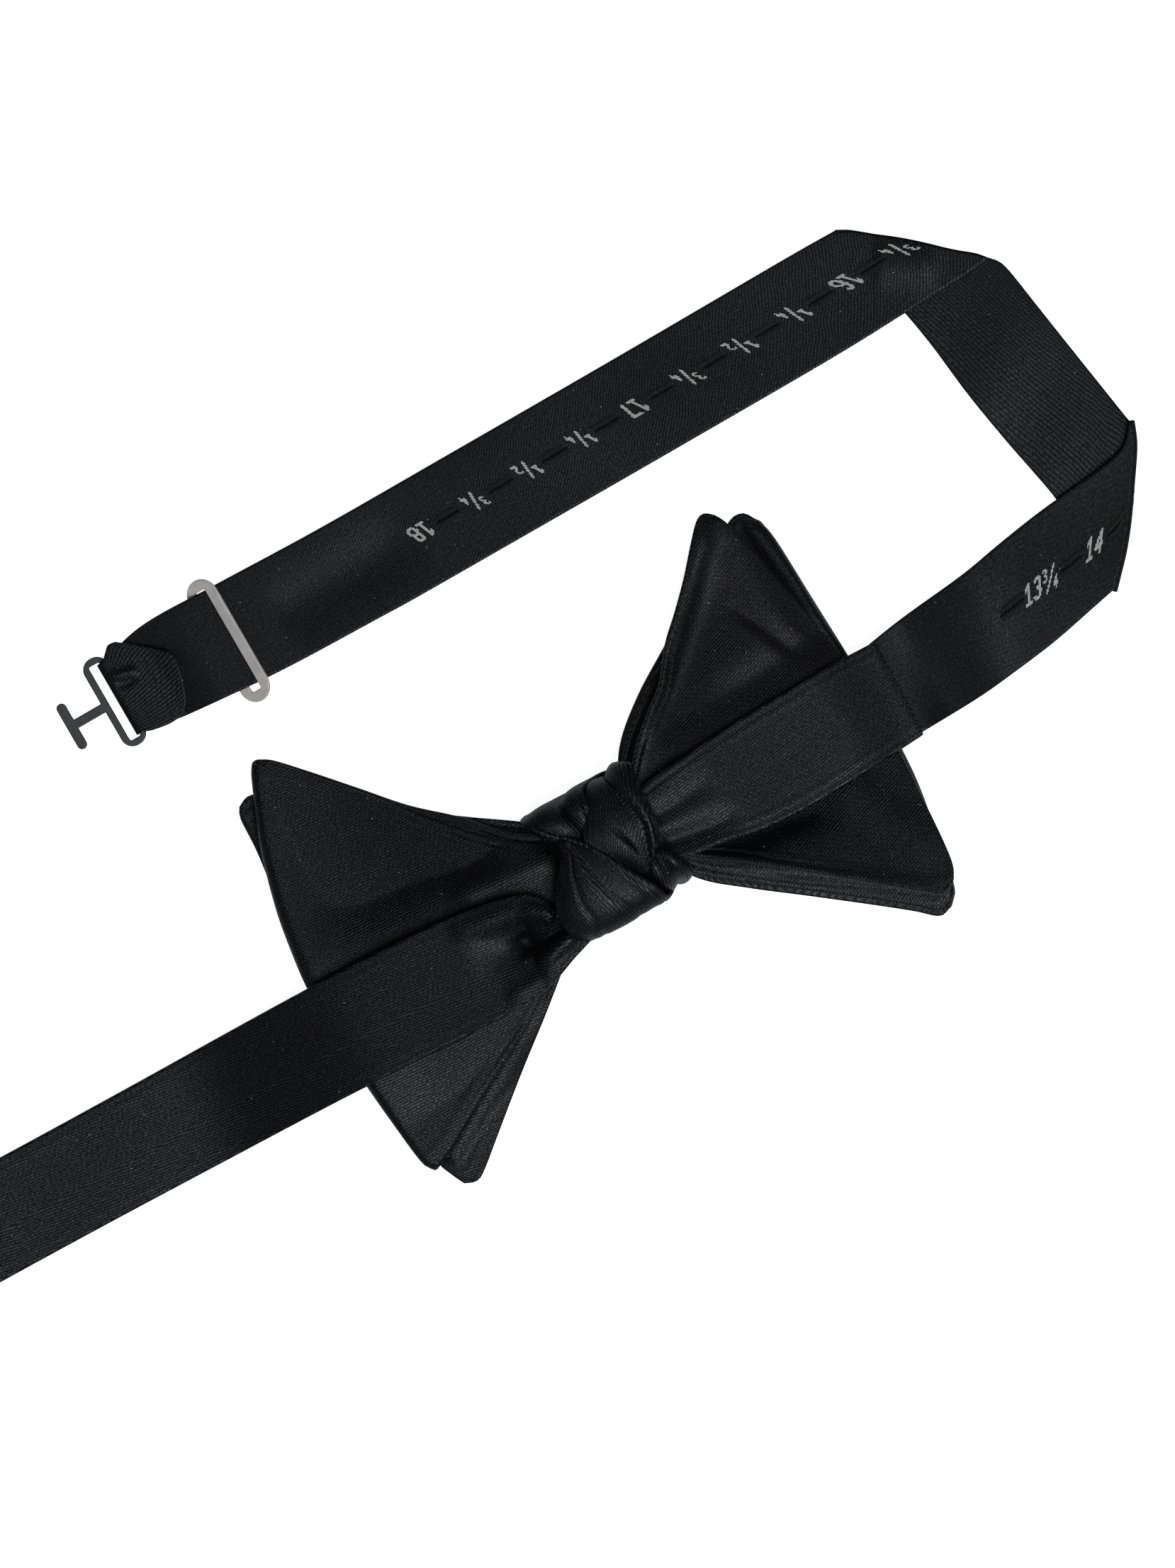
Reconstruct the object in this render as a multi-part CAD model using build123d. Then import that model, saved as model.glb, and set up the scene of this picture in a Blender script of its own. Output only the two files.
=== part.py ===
from build123d import *

import math
import os

# A self-tied butterfly bow tie in black satin, lying on its front, with an adjustable neckband.
#
# Frame, millimetres: +Z up from the table, +X along the bow towards the sized tape, origin on the table
# under the knot. Two lined satin strips are tied together. The front strip is a flat blade end on the
# left and a folded loop on the right, and the rear strip, which lies over it, is the reverse. Both bands
# of the neck come out of the back of the knot, over the rear wings. The plain one ends in a ring. The
# short one is sewn to a tape with buttonholes, which is folded twice so that it comes back beside the
# bow, and carries a keeper ring and a T-hook.

# Overall sizes
BOW_W = 129.5            # across the wings
BOW_H = 98.0             # from the highest wing tip to the lowest
LEFT_SHARE = 0.53        # of the bow's width, left of the origin
KNOT_W = 18.5            # along X
KNOT_H = 28.0            # along Y
KNOT_D = 14.0            # from the front of the centre wrap to its back
KNOT_MID_X = -1.25
KNOT_MID_Y = -2.0
PLAIN_BAND_L = 172.0     # from the knot to the end ring's bar

# Cloth
STRIP_T = 1.3            # a lined strip: satin, interlining, satin
SATIN_T = 0.35
LINING_GAP = 0.05        # air all round the interlining
BAND_W = 22.0
TAPE_T = 0.5
TAPE_W = 22.4
CORNER_R = 1.2           # rounding of the sewn corners of the wings
CLOTH_CORNER_R = 0.3     # rounding of the corners of bands and tape
LAYER_GAP = 1.0          # air between the wings' layers at their outer ends
WRAP_T = 1.6             # thickness of the gathered cloth round the knot
WRAP_R = 5.0             # rounding of the centre wrap
WRAP_GAP = 0.1           # air between neighbouring pieces of the knot
WAIST_GAP = 0.4          # air round the pinched waist inside the centre wrap

# Tape in plan
SEAM_GAP = 6.1           # from the wing's end to the seam between short band and tape
TAPE_GAP = 13.2          # from the top wing tip to the long leg's near edge
FOLD_A_X = 59.3          # the lower fold's middle, from the seam
FOLD_A_Y = 5.0
FOLD_A_ANGLE = 52.0
LEG_A_ANGLE = 9.0        # the first leg's slope where it meets the lower fold
FOLD_B_X = 49.9          # the upper fold's middle, from the seam
FOLD_B_ANGLE = 139.0
LONG_LEG_L = 189.5       # from the upper fold's middle to the hook's bar

# Buttonholes
SLOT_L = 5.8
SLOT_W = 0.5
EDGING_W = 0.65          # overcast edge round each buttonhole
SLOT_PITCH = 12.75       # half an inch of tape, folded back, is a quarter inch of collar
LONG_LEG_SLOTS = 9
MIDDLE_LEG_SLOTS = 6

# T-hook, stamped from sheet
HOOK_T = 0.9
HOOK_BAR_W = 1.5
HOOK_SLOT_W = 2.5        # clear width of its loop, along X
HOOK_CORNER_R = 2.6
HOOK_OFF_CENTRE = 0.9    # how far the tab stands off the tape's centreline
HOOK_TAB_W = 16.6
HOOK_TAB_L = 12.6
STEM_L = 6.5
STEM_W = 2.0
TEE_L = 10.6
TEE_W = 2.1

# Keeper ring on the long leg
RING_T = 0.8
RING_BAR_W = 2.4
RING_SLOT_W = 2.6
RING_FROM_HOOK = 24.7    # from the hook's bar
RING_TILT = 30.0         # one bar over the tape, the other under it

# Ring on the end of the plain band
END_RING_T = 1.0
END_RING_BAR_W = 2.0
END_RING_SLOT_W = 9.0
END_RING_CORNER_R = 3.0
END_TAB_L = 12.0

# Fits
PIVOT_GAP = 0.1          # between a metal bar and the cloth channel round it
SIDE_GAP = 0.4           # between a cloth tab and the sides of its metal loop
INNER_CORNER_R = 0.4
EDGE_R = 0.25            # rounded edges of the metal pieces

# Thread
THREAD_D = 0.45
STITCH_L = 1.0
STITCH_PITCH = 1.55

# Worked out from the sizes above
LEFT_END = -BOW_W * LEFT_SHARE
RIGHT_END = BOW_W * (1 - LEFT_SHARE)
KNOT_LEFT = KNOT_MID_X - KNOT_W / 2
KNOT_RIGHT = KNOT_MID_X + KNOT_W / 2
HALF_T = STRIP_T / 2
FOLD_R = HALF_T + 1.25                                   # half the height of a loop's open fold
REAR_LOOP_Z = HALF_T + STRIP_T + LAYER_GAP               # the rear loop's lower layer
REAR_BLADE_Z = HALF_T + 2 * FOLD_R + STRIP_T + LAYER_GAP
LEFT_BAND_Z = REAR_LOOP_Z + 2 * FOLD_R + STRIP_T + 2 * LAYER_GAP
RIGHT_BAND_Z = REAR_BLADE_Z + STRIP_T + LAYER_GAP
BAND_TOP_Z = KNOT_D + HALF_T + 0.6                       # where the bands leave the knot
SEAM_X = RIGHT_END + SEAM_GAP
TAPE_Y = 0.51 * BOW_H + TAPE_GAP + TAPE_W / 2
UNDER_Z = TAPE_T / 2                                     # the middle leg lies on the table
# The other two legs lie over it, as high as the keeper ring's lower bar lifts them.
TILT = math.radians(RING_TILT)
TAPE_Z = (RING_BAR_W + RING_SLOT_W / 2) * math.sin(TILT) + RING_T / 2 * math.cos(TILT)
SEAM_Z = RIGHT_BAND_Z - 0.7
HOOK_X = SEAM_X + FOLD_B_X - LONG_LEG_L
HOOK_Y = TAPE_Y + HOOK_OFF_CENTRE
HOOK_SLOT_L = HOOK_TAB_W + 2 * SIDE_GAP
RING_SLOT_L = TAPE_W + 3 * SIDE_GAP
END_X = KNOT_LEFT - PLAIN_BAND_L
END_Y = -5.2
END_RING_SLOT_L = BAND_W + 2 * SIDE_GAP
REACH = 4 * BOW_W        # longer than anything in the tie

# Plan outlines of the wings: how far out from the knot as a share of the wing's reach, and the height
# above the origin as a share of the bow's height.
FRONT_BLADE = [(0, 0.07), (0.25, 0.185), (0.85, 0.45), (0.92, 0.445), (0.955, 0.22), (0.96, 0),
               (0.94, -0.27), (0.915, -0.43), (0.86, -0.487), (0.6, -0.375), (0.18, -0.18),
               (0, -0.09)]
FRONT_LOOP = [(0, 0.09), (0.06, 0.16), (0.41, 0.288), (0.9, 0.45), (0.98, 0.42), (1, 0.08),
              (0.98, -0.16), (0.9, -0.47), (0.84, -0.498), (0.75, -0.46), (0.22, -0.245),
              (0, -0.13)]
REAR_LOOP = [(0, 0.05), (0.25, 0.18), (0.51, 0.34), (0.78, 0.51), (0.87, 0.41), (0.965, 0.2),
             (1, 0), (0.99, -0.22), (0.975, -0.42), (0.85, -0.395), (0.33, -0.235), (0, -0.1)]
REAR_BLADE = [(0, 0.07), (0.41, 0.285), (0.79, 0.486), (0.87, 0.4), (0.955, 0.16), (0.985, -0.08),
              (0.96, -0.275), (0.92, -0.44), (0.6, -0.315), (0.075, -0.127), (0, -0.09)]

# The cloth crossing the back of the knot: height above the centre wrap, and a plan outline in shares of
# the knot's width and height.
BACK_WRAPS = {
    "upper_wrap": (4.6, [(-0.75, 0.34), (-0.49, 0.385), (-0.08, 0.43), (0.25, 0.37), (0.2, 0.275),
                         (-0.215, 0.06), (-0.51, 0.165)]),
    "lower_wrap": (6.4, [(-0.93, -0.18), (-0.89, -0.59), (-0.27, -0.6), (0.24, -0.52),
                         (0.01, -0.195), (-0.28, 0.06), (-0.49, 0.05)]),
    "centre_wrap": (7.0, [(-0.22, 0.03), (0.2, 0.25), (0.34, 0.15), (0.35, -0.04), (0.25, -0.3),
                          (0.12, -0.34), (0.02, -0.19)]),
    "collar_wrap": (6.2, [(0.29, 0.37), (0.57, 0.43), (0.56, 0.04), (0.4, -0.24), (0.29, -0.27),
                          (0.39, -0.04), (0.37, 0.16), (0.25, 0.275)]),
    "corner_wrap": (3.8, [(0.28, -0.5), (0.6, -0.485), (0.55, -0.37), (0.41, -0.29), (0.27, -0.32),
                          (0.17, -0.37)]),
}


def save(name, shape):
    """Writes one sub-part, whose solids stay separate inside its file."""
    solids = list(shape.solids())
    body = solids[0] if len(solids) == 1 else Compound(children=solids)
    body.label = name
    export_step(body, f"parts/{name}.step")


def outline(points, inset=0.0, radius=CORNER_R):
    """A closed plan shape with rounded corners, drawn in by inset."""
    shape = make_face(Polyline(*points, close=True))
    shape = fillet(shape.vertices(), radius)
    return offset(shape, -inset) if inset else shape


def ribbon(path, left, right):
    """The side view of a strip: its path in XZ, thickened to the left and to the right."""
    parts = []
    for side, amount in ((Side.LEFT, left), (Side.RIGHT, right)):
        if amount > 0:
            parts.append(make_face(offset(path, amount, side=side, closed=True)))
    shape = parts[0]
    for other in parts[1:]:
        shape = shape + other
    return Plane.XZ * shape


def strip(path, plan, left, right):
    """Cloth that follows path in side view and plan as seen from above."""
    slab = extrude(ribbon(path, left, right), amount=REACH, both=True)
    mask = Pos(0, 0, -BOW_H) * extrude(plan, amount=2 * BOW_H)
    return slab & mask


def lined_strip(name, path, plan, lining_path, lining_plan):
    """Writes the two satin panels of a sewn strip and the interlining between them.

    Each panel is a shallow tray whose rim is its turned-in edge. The face panel is on the left of a
    path that runs towards -X and on the right of one that runs towards +X, so it faces the table.
    """
    hollow_t = HALF_T - SATIN_T
    lining_t = hollow_t - LINING_GAP
    runs_left = (path @ 0).X > (path @ 0.4).X
    hollow_plan = offset(lining_plan, LINING_GAP)
    for panel, on_left in (("face_panel", runs_left), ("back_panel", not runs_left)):
        sides = (1, 0) if on_left else (0, 1)
        whole = strip(path, plan, *(HALF_T * side for side in sides))
        hollow = strip(lining_path, hollow_plan, *(hollow_t * side for side in sides))
        save(f"{name}_{panel}", whole - hollow)
    save(f"{name}_interlining", strip(lining_path, lining_plan, lining_t, lining_t))


def simple_strip(name, path, points, radius):
    """A lined strip whose interlining is its own outline drawn in by the satin and the gap."""
    plan = outline(points, 0, radius)
    inner = outline(points, SATIN_T + LINING_GAP, radius)
    lined_strip(name, path, plan, path, inner)


# ---------------------------------------------------------------- the bow: two strips, four wings
def wing_plan(shares, side):
    """Plan points of a wing on the left (side -1) or the right (side +1) of the knot."""
    start = (KNOT_LEFT if side < 0 else KNOT_RIGHT) + side * WRAP_GAP
    reach = abs((LEFT_END if side < 0 else RIGHT_END) - start)
    return [(start + side * out * reach, up * BOW_H) for out, up in shares]


def blade_path(side, knot_z, end_z):
    """A single layer, from the knot down to its height at the wing's end."""
    start = KNOT_LEFT if side < 0 else KNOT_RIGHT
    end = LEFT_END if side < 0 else RIGHT_END
    reach = end - start
    points = [(start, knot_z), (start + 0.35 * reach, (knot_z + 1.6 * end_z) / 2.6),
              (start + 0.7 * reach, end_z), (end + side, end_z)]
    return FilletPolyline(*points, radius=12)


def loop_path(side, low_z, high_z, end_z):
    """Two layers joined by an open fold at the wing's end."""
    start = KNOT_LEFT if side < 0 else KNOT_RIGHT
    end = (LEFT_END if side < 0 else RIGHT_END) - side * (FOLD_R + HALF_T)
    middle = start + 0.45 * (end - start)
    top_z = end_z + 2 * FOLD_R
    lower = Polyline((start, low_z), (middle, (low_z + 2 * end_z) / 3), (end, end_z))
    turn = ThreePointArc((end, end_z), (end + side * FOLD_R, end_z + FOLD_R), (end, top_z))
    upper = Polyline((end, top_z), (middle, (high_z + 2 * top_z) / 3), (start, high_z))
    return Wire([*lower.edges(), turn.edge(), *upper.edges()])


def bow_wings():
    front_blade = blade_path(-1, 0.4 * KNOT_D, HALF_T)
    front_loop = loop_path(1, 0.37 * KNOT_D, 0.58 * KNOT_D, HALF_T)
    rear_loop = loop_path(-1, 0.56 * KNOT_D, 0.79 * KNOT_D, REAR_LOOP_Z)
    rear_blade = blade_path(1, 0.76 * KNOT_D, REAR_BLADE_Z)
    simple_strip("front_blade", front_blade, wing_plan(FRONT_BLADE, -1), CORNER_R)
    simple_strip("front_loop", front_loop, wing_plan(FRONT_LOOP, 1), CORNER_R)
    simple_strip("rear_loop", rear_loop, wing_plan(REAR_LOOP, -1), CORNER_R)
    simple_strip("rear_blade", rear_blade, wing_plan(REAR_BLADE, 1), CORNER_R)


# ---------------------------------------------------------------- the knot
def knot_section(inset):
    """The knot's rounded section in YZ, drawn in by inset."""
    size = RectangleRounded(KNOT_H - 2 * inset, KNOT_D - 2 * inset, WRAP_R - inset)
    side = Plane(origin=(KNOT_LEFT, KNOT_MID_Y, KNOT_D / 2), x_dir=(0, 1, 0), z_dir=(1, 0, 0))
    return side * size


def knot():
    """The centre wrap that shows at the front, the waist it pinches, and the crossings behind it."""
    wrap = knot_section(0) - knot_section(WRAP_T)
    save("front_centre_wrap", extrude(wrap, amount=KNOT_W, dir=(1, 0, 0)))
    waist = knot_section(WRAP_T + WAIST_GAP)
    save("pinched_waist", extrude(waist, amount=KNOT_W, dir=(1, 0, 0)))
    for name, (height, shares) in BACK_WRAPS.items():
        points = [(x * KNOT_W, y * KNOT_H) for x, y in shares]
        block = extrude(outline(points, WRAP_GAP / 2, 0.6), amount=height)
        save(name, Pos(0, 0, KNOT_D + WRAP_GAP) * block)


# ---------------------------------------------------------------- the neckband
BAND_LEFT_X = -0.95 * KNOT_W
BAND_RIGHT_X = 0.62 * KNOT_W
END_BAR_R = math.hypot(END_RING_BAR_W, END_RING_T) / 2 + PIVOT_GAP
END_TURN_R = END_BAR_R + HALF_T
END_RING_Z = HALF_T + END_TURN_R


def plain_band():
    """The plain half: over the left wings, down to the table, and back round the end ring's bar."""
    foot = END_X + 0.45 * PLAIN_BAND_L
    lead_x = END_X + 5
    points = [(BAND_LEFT_X, BAND_TOP_Z), (LEFT_END / 2 + BAND_LEFT_X, (BAND_TOP_Z + 2 * LEFT_BAND_Z) / 3),
              (LEFT_END - 4, LEFT_BAND_Z), (foot, HALF_T), (lead_x, HALF_T)]
    run = FilletPolyline(*points, radius=14)
    tab_z = END_RING_Z + END_TURN_R
    turn = ThreePointArc((END_X, HALF_T), (END_X - END_TURN_R, END_RING_Z), (END_X, tab_z))
    lead = Line((lead_x, HALF_T), (END_X, HALF_T))
    tab = Line((END_X, tab_z), (END_X + END_TAB_L, tab_z))
    path = Wire([*run.edges(), lead.edge(), turn.edge(), tab.edge()])
    knot_y = END_Y - 4.2
    half_w = BAND_W / 2
    ends = [(END_X - BAND_W, END_Y), (END_X + END_TAB_L, END_Y), (BAND_LEFT_X, knot_y)]
    plan = outline([(x, y - half_w) for x, y in ends] + [(x, y + half_w) for x, y in reversed(ends)],
                   0, CLOTH_CORNER_R)
    inset = SATIN_T + LINING_GAP
    inner_w = half_w - inset
    inner_ends = [(lead_x, END_Y), (BAND_LEFT_X - inset, knot_y)]
    inner = outline([(x, y - inner_w) for x, y in inner_ends]
                    + [(x, y + inner_w) for x, y in reversed(inner_ends)], 0, CLOTH_CORNER_R)
    lined_strip("plain_band", path, plan, run, inner)


def short_band():
    """The short half: over the right wings to the seam, where the tape is sewn under its end."""
    middle = (BAND_RIGHT_X + SEAM_X) / 2
    path = FilletPolyline((BAND_RIGHT_X, BAND_TOP_Z), (middle, (BAND_TOP_Z + 2 * RIGHT_BAND_Z) / 3),
                          (SEAM_X - 7, RIGHT_BAND_Z), (SEAM_X + 3, SEAM_Z), radius=14)
    points = [(BAND_RIGHT_X, -11), (BAND_RIGHT_X + 15, -14), (SEAM_X, -13.8), (SEAM_X, 7.2),
              (BAND_RIGHT_X + 15, 6.6), (BAND_RIGHT_X, 5.4)]
    simple_strip("short_band", path, points, CLOTH_CORNER_R)


# ---------------------------------------------------------------- the sized tape
HOOK_BAR_R = math.hypot(HOOK_BAR_W, HOOK_T) / 2 + PIVOT_GAP
HOOK_TURN_R = HOOK_BAR_R + TAPE_T / 2
HOOK_Z = TAPE_T / 2 + HOOK_TURN_R
TAPE_FOLD_R = (TAPE_Z - UNDER_Z) / 2


def fold_line(mid_x, mid_y, angle, leg_angle):
    """Both ends of a fold across the whole tape, and the direction in which it bulges."""
    half = TAPE_W / math.sin(math.radians(abs(angle - leg_angle))) / 2
    along = Vector(1, 0, 0).rotate(Axis.Z, angle)
    out = Vector(0, -1, 0).rotate(Axis.Z, angle)
    start = Vector(mid_x, mid_y, 0) - along * half
    return start, start + along * 2 * half, out


LOWER_FOLD = fold_line(SEAM_X + FOLD_A_X, FOLD_A_Y, FOLD_A_ANGLE, LEG_A_ANGLE)
UPPER_FOLD = fold_line(SEAM_X + FOLD_B_X, TAPE_Y, FOLD_B_ANGLE, 180)


def crease(fold):
    """The two points where the legs end and the half-round turn of the fold begins."""
    start, end, out = fold
    back = out * (TAPE_FOLD_R + TAPE_T / 2)
    return [tuple(start - back)[:2], tuple(end - back)[:2]]


def fold_turn(fold):
    """The half-round turn from the leg on the table to the leg above it."""
    start, end, out = fold
    outer_r = TAPE_FOLD_R + TAPE_T / 2
    origin = start - out * outer_r + Vector(0, 0, UNDER_Z + TAPE_FOLD_R)
    section = Circle(outer_r) - Circle(outer_r - TAPE_T)
    half = section & (Pos(outer_r, 0) * Rectangle(2 * outer_r, 4 * outer_r))
    plane = Plane(origin=origin, x_dir=out, z_dir=(end - start).normalized())
    return extrude(plane * half, amount=(end - start).length)


def first_leg():
    """From the seam down to the lower fold."""
    slope_end = SEAM_X + 0.4 * FOLD_A_X
    path = FilletPolyline((SEAM_X, SEAM_Z), (slope_end, TAPE_Z), (SEAM_X + 2 * FOLD_A_X, TAPE_Z), radius=30)
    centre = [(SEAM_X, -2.5), (slope_end, -1.3), (SEAM_X + 0.62 * FOLD_A_X, 0.8)]
    lower = [(x, y - TAPE_W / 2) for x, y in centre]
    upper = [(x, y + TAPE_W / 2) for x, y in reversed(centre)]
    plan = outline([*lower, *crease(LOWER_FOLD), *upper], 0, CLOTH_CORNER_R)
    return strip(path, plan, TAPE_T / 2, TAPE_T / 2)


def middle_leg():
    """Flat on the table, from the lower fold to the upper."""
    plan = outline([*crease(LOWER_FOLD), *crease(UPPER_FOLD)], 0, CLOTH_CORNER_R)
    return extrude(plan, amount=TAPE_T)


def long_leg():
    """From the upper fold to the hook, with its end turned over round the hook's bar."""
    ring_x = HOOK_X + RING_FROM_HOOK
    low_x = HOOK_X + 0.3 * RING_FROM_HOOK
    down = FilletPolyline((SEAM_X + 2 * FOLD_B_X, TAPE_Z), (ring_x - 7, TAPE_Z), (low_x, UNDER_Z),
                          (HOOK_X + 2, UNDER_Z), radius=6)
    lead = Line((HOOK_X + 2, UNDER_Z), (HOOK_X, UNDER_Z))
    flap_z = HOOK_Z + HOOK_TURN_R
    turn = ThreePointArc((HOOK_X, UNDER_Z), (HOOK_X - HOOK_TURN_R, HOOK_Z), (HOOK_X, flap_z))
    flap = Line((HOOK_X, flap_z), (HOOK_X + HOOK_TAB_L, flap_z))
    path = Wire([*down.edges(), lead.edge(), turn.edge(), flap.edge()])
    low, high = TAPE_Y - TAPE_W / 2, TAPE_Y + TAPE_W / 2
    tab_low, tab_high = HOOK_Y - HOOK_TAB_W / 2, HOOK_Y + HOOK_TAB_W / 2
    b0, b1 = crease(UPPER_FOLD)
    points = [b0, b1, (low_x, high), (HOOK_X + 3, tab_high), (HOOK_X - TAPE_W, tab_high),
              (HOOK_X - TAPE_W, tab_low), (HOOK_X + 3, tab_low), (low_x, low)]
    full_width = Pos(0, TAPE_Y) * Rectangle(2 * REACH, TAPE_W)
    return strip(path, outline(points, 0, CLOTH_CORNER_R) & full_width, TAPE_T / 2, TAPE_T / 2)


def slot_places():
    """Each buttonhole's middle, as x, y and the height of the tape's underside, and its angle."""
    places = []
    for n, height in enumerate((-0.9, 1.0, 3.4)):
        places.append((SEAM_X + 29.2 + n * SLOT_PITCH * 1.04, height, TAPE_Z - TAPE_T / 2, 3 + 3 * n))
    start = Vector(*crease(LOWER_FOLD)[0]) + Vector(*crease(LOWER_FOLD)[1])
    end = Vector(*crease(UPPER_FOLD)[0]) + Vector(*crease(UPPER_FOLD)[1])
    start, end = start / 2, end / 2
    angle = math.degrees(math.atan2(end.Y - start.Y, end.X - start.X))
    along = (end - start).normalized()
    first = ((end - start).length - (MIDDLE_LEG_SLOTS - 1) * SLOT_PITCH) / 2
    for n in range(MIDDLE_LEG_SLOTS):
        spot = start + along * (first + n * SLOT_PITCH)
        places.append((spot.X, spot.Y, 0, angle))
    last_x = SEAM_X + FOLD_B_X - 11.5
    for n in range(LONG_LEG_SLOTS):
        places.append((last_x - n * SLOT_PITCH, TAPE_Y, TAPE_Z - TAPE_T / 2, 0))
    return places


def sized_tape():
    """The woven tape, and the overcast edging of its buttonholes."""
    tape = first_leg() + fold_turn(LOWER_FOLD) + middle_leg() + fold_turn(UPPER_FOLD) + long_leg()
    whole = SlotOverall(SLOT_L + 2 * EDGING_W, SLOT_W + 2 * EDGING_W)
    edging = whole - SlotOverall(SLOT_L, SLOT_W)
    edgings = []
    for x, y, z, angle in slot_places():
        place = Pos(x, y, z) * Rot(0, 0, angle)
        tape = tape - place * extrude(whole, amount=TAPE_T)
        edgings += (place * extrude(edging, amount=TAPE_T)).solids()
    save("sized_tape", tape)
    save("buttonhole_edging", Compound(children=edgings))


# ---------------------------------------------------------------- the hardware
def droop(height, thickness, reach):
    """How far a loose piece tips, in degrees, until its far end lies on the table."""
    return math.degrees(math.asin((height - thickness / 2) / reach)) - 0.5


def stamping(shape, thickness):
    """A flat metal piece cut to shape, with the edges of both faces rounded."""
    body = Pos(0, 0, -thickness / 2) * extrude(shape, amount=thickness)
    faces = (body.faces().sort_by(Axis.Z)[0], body.faces().sort_by(Axis.Z)[-1])
    return fillet([edge for face in faces for edge in face.edges()], EDGE_R)


def t_hook():
    """Flat hook: a loop whose near bar turns in the tape's tab, a stem, and a cross bar."""
    loop_w = HOOK_SLOT_W + 2 * HOOK_BAR_W
    loop_l = HOOK_SLOT_L + 2 * HOOK_BAR_W
    loop_end = HOOK_BAR_W / 2 - loop_w
    slot = RectangleRounded(HOOK_SLOT_W, HOOK_SLOT_L, INNER_CORNER_R)
    loop = RectangleRounded(loop_w, loop_l, HOOK_CORNER_R) - slot
    stem = Pos(loop_end - STEM_L / 2, 0) * Rectangle(STEM_L + HOOK_BAR_W, STEM_W)
    tee = Pos(loop_end - STEM_L - TEE_W / 2, 0) * Rot(0, 0, 90) * SlotOverall(TEE_L, TEE_W)
    shape = Pos(HOOK_BAR_W / 2 - loop_w / 2, 0) * loop + stem + tee
    tip = droop(HOOK_Z, HOOK_T, STEM_L + TEE_W - loop_end)
    save("t_hook", Pos(HOOK_X, HOOK_Y, HOOK_Z) * Rot(0, -tip, 0) * stamping(shape, HOOK_T))
    return tip


def keeper_ring():
    """Flat ring, tilted so that the tape passes over its left bar and under its right bar."""
    outer = SlotOverall(RING_SLOT_L + 2 * RING_BAR_W, RING_SLOT_W + 2 * RING_BAR_W)
    inner = RectangleRounded(RING_SLOT_L, RING_SLOT_W, INNER_CORNER_R)
    place = Pos(HOOK_X + RING_FROM_HOOK, TAPE_Y, TAPE_Z) * Rot(0, -RING_TILT, 0) * Rot(0, 0, 90)
    save("keeper_ring", place * stamping(outer - inner, RING_T))


def end_ring():
    """Flat rectangular ring; its near bar turns in the plain band's tab."""
    width = END_RING_SLOT_W + 2 * END_RING_BAR_W
    length = END_RING_SLOT_L + 2 * END_RING_BAR_W
    slot = RectangleRounded(END_RING_SLOT_W, END_RING_SLOT_L, INNER_CORNER_R)
    shape = RectangleRounded(width, length, END_RING_CORNER_R) - slot
    shape = Pos(END_RING_BAR_W / 2 - width / 2, 0) * shape
    tip = droop(END_RING_Z, END_RING_T, width - END_RING_BAR_W / 2)
    save("end_ring", Pos(END_X, END_Y, END_RING_Z) * Rot(0, -tip, 0) * stamping(shape, END_RING_T))
    return tip


# ---------------------------------------------------------------- the sewing
def stitch_row(name, x, y_from, y_to, z):
    """Short stitches in a row across the cloth, lying on its surface at height z."""
    count = int((y_to - y_from) / STITCH_PITCH)
    first = (y_from + y_to - (count - 1) * STITCH_PITCH) / 2
    stitch = Rot(90, 0, 0) * Cylinder(THREAD_D / 2, STITCH_L)
    row = []
    for n in range(count):
        row += (Pos(x, first + n * STITCH_PITCH, z + THREAD_D / 2) * stitch).solids()
    save(name, Compound(children=row))


def sewing():
    hook_flap_top = HOOK_Z + HOOK_TURN_R + TAPE_T / 2
    stitch_row("hook_tab_stitches", HOOK_X + 0.6 * HOOK_TAB_L, HOOK_Y - 0.44 * HOOK_TAB_W,
               HOOK_Y + 0.4 * HOOK_TAB_W, hook_flap_top)
    stitch_row("seam_stitches", SEAM_X + 1.2, -12.6, 7.0, SEAM_Z + TAPE_T / 2)
    stitch_row("end_tab_stitches", END_X + 0.7 * END_TAB_L, END_Y - 0.42 * BAND_W,
               END_Y + 0.42 * BAND_W, END_RING_Z + END_TURN_R + HALF_T)


os.makedirs("parts", exist_ok=True)
bow_wings()
knot()
plain_band()
short_band()
sized_tape()
sewing()
keeper_ring()
hook_tip = t_hook()
end_tip = end_ring()
print("hook hinge", HOOK_X, HOOK_Y, HOOK_Z, "tipped", round(hook_tip, 2))
print("end ring hinge", END_X, END_Y, END_RING_Z, "tipped", round(end_tip, 2))
print("keeper ring at", HOOK_X + RING_FROM_HOOK, TAPE_Y, TAPE_Z)
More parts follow.
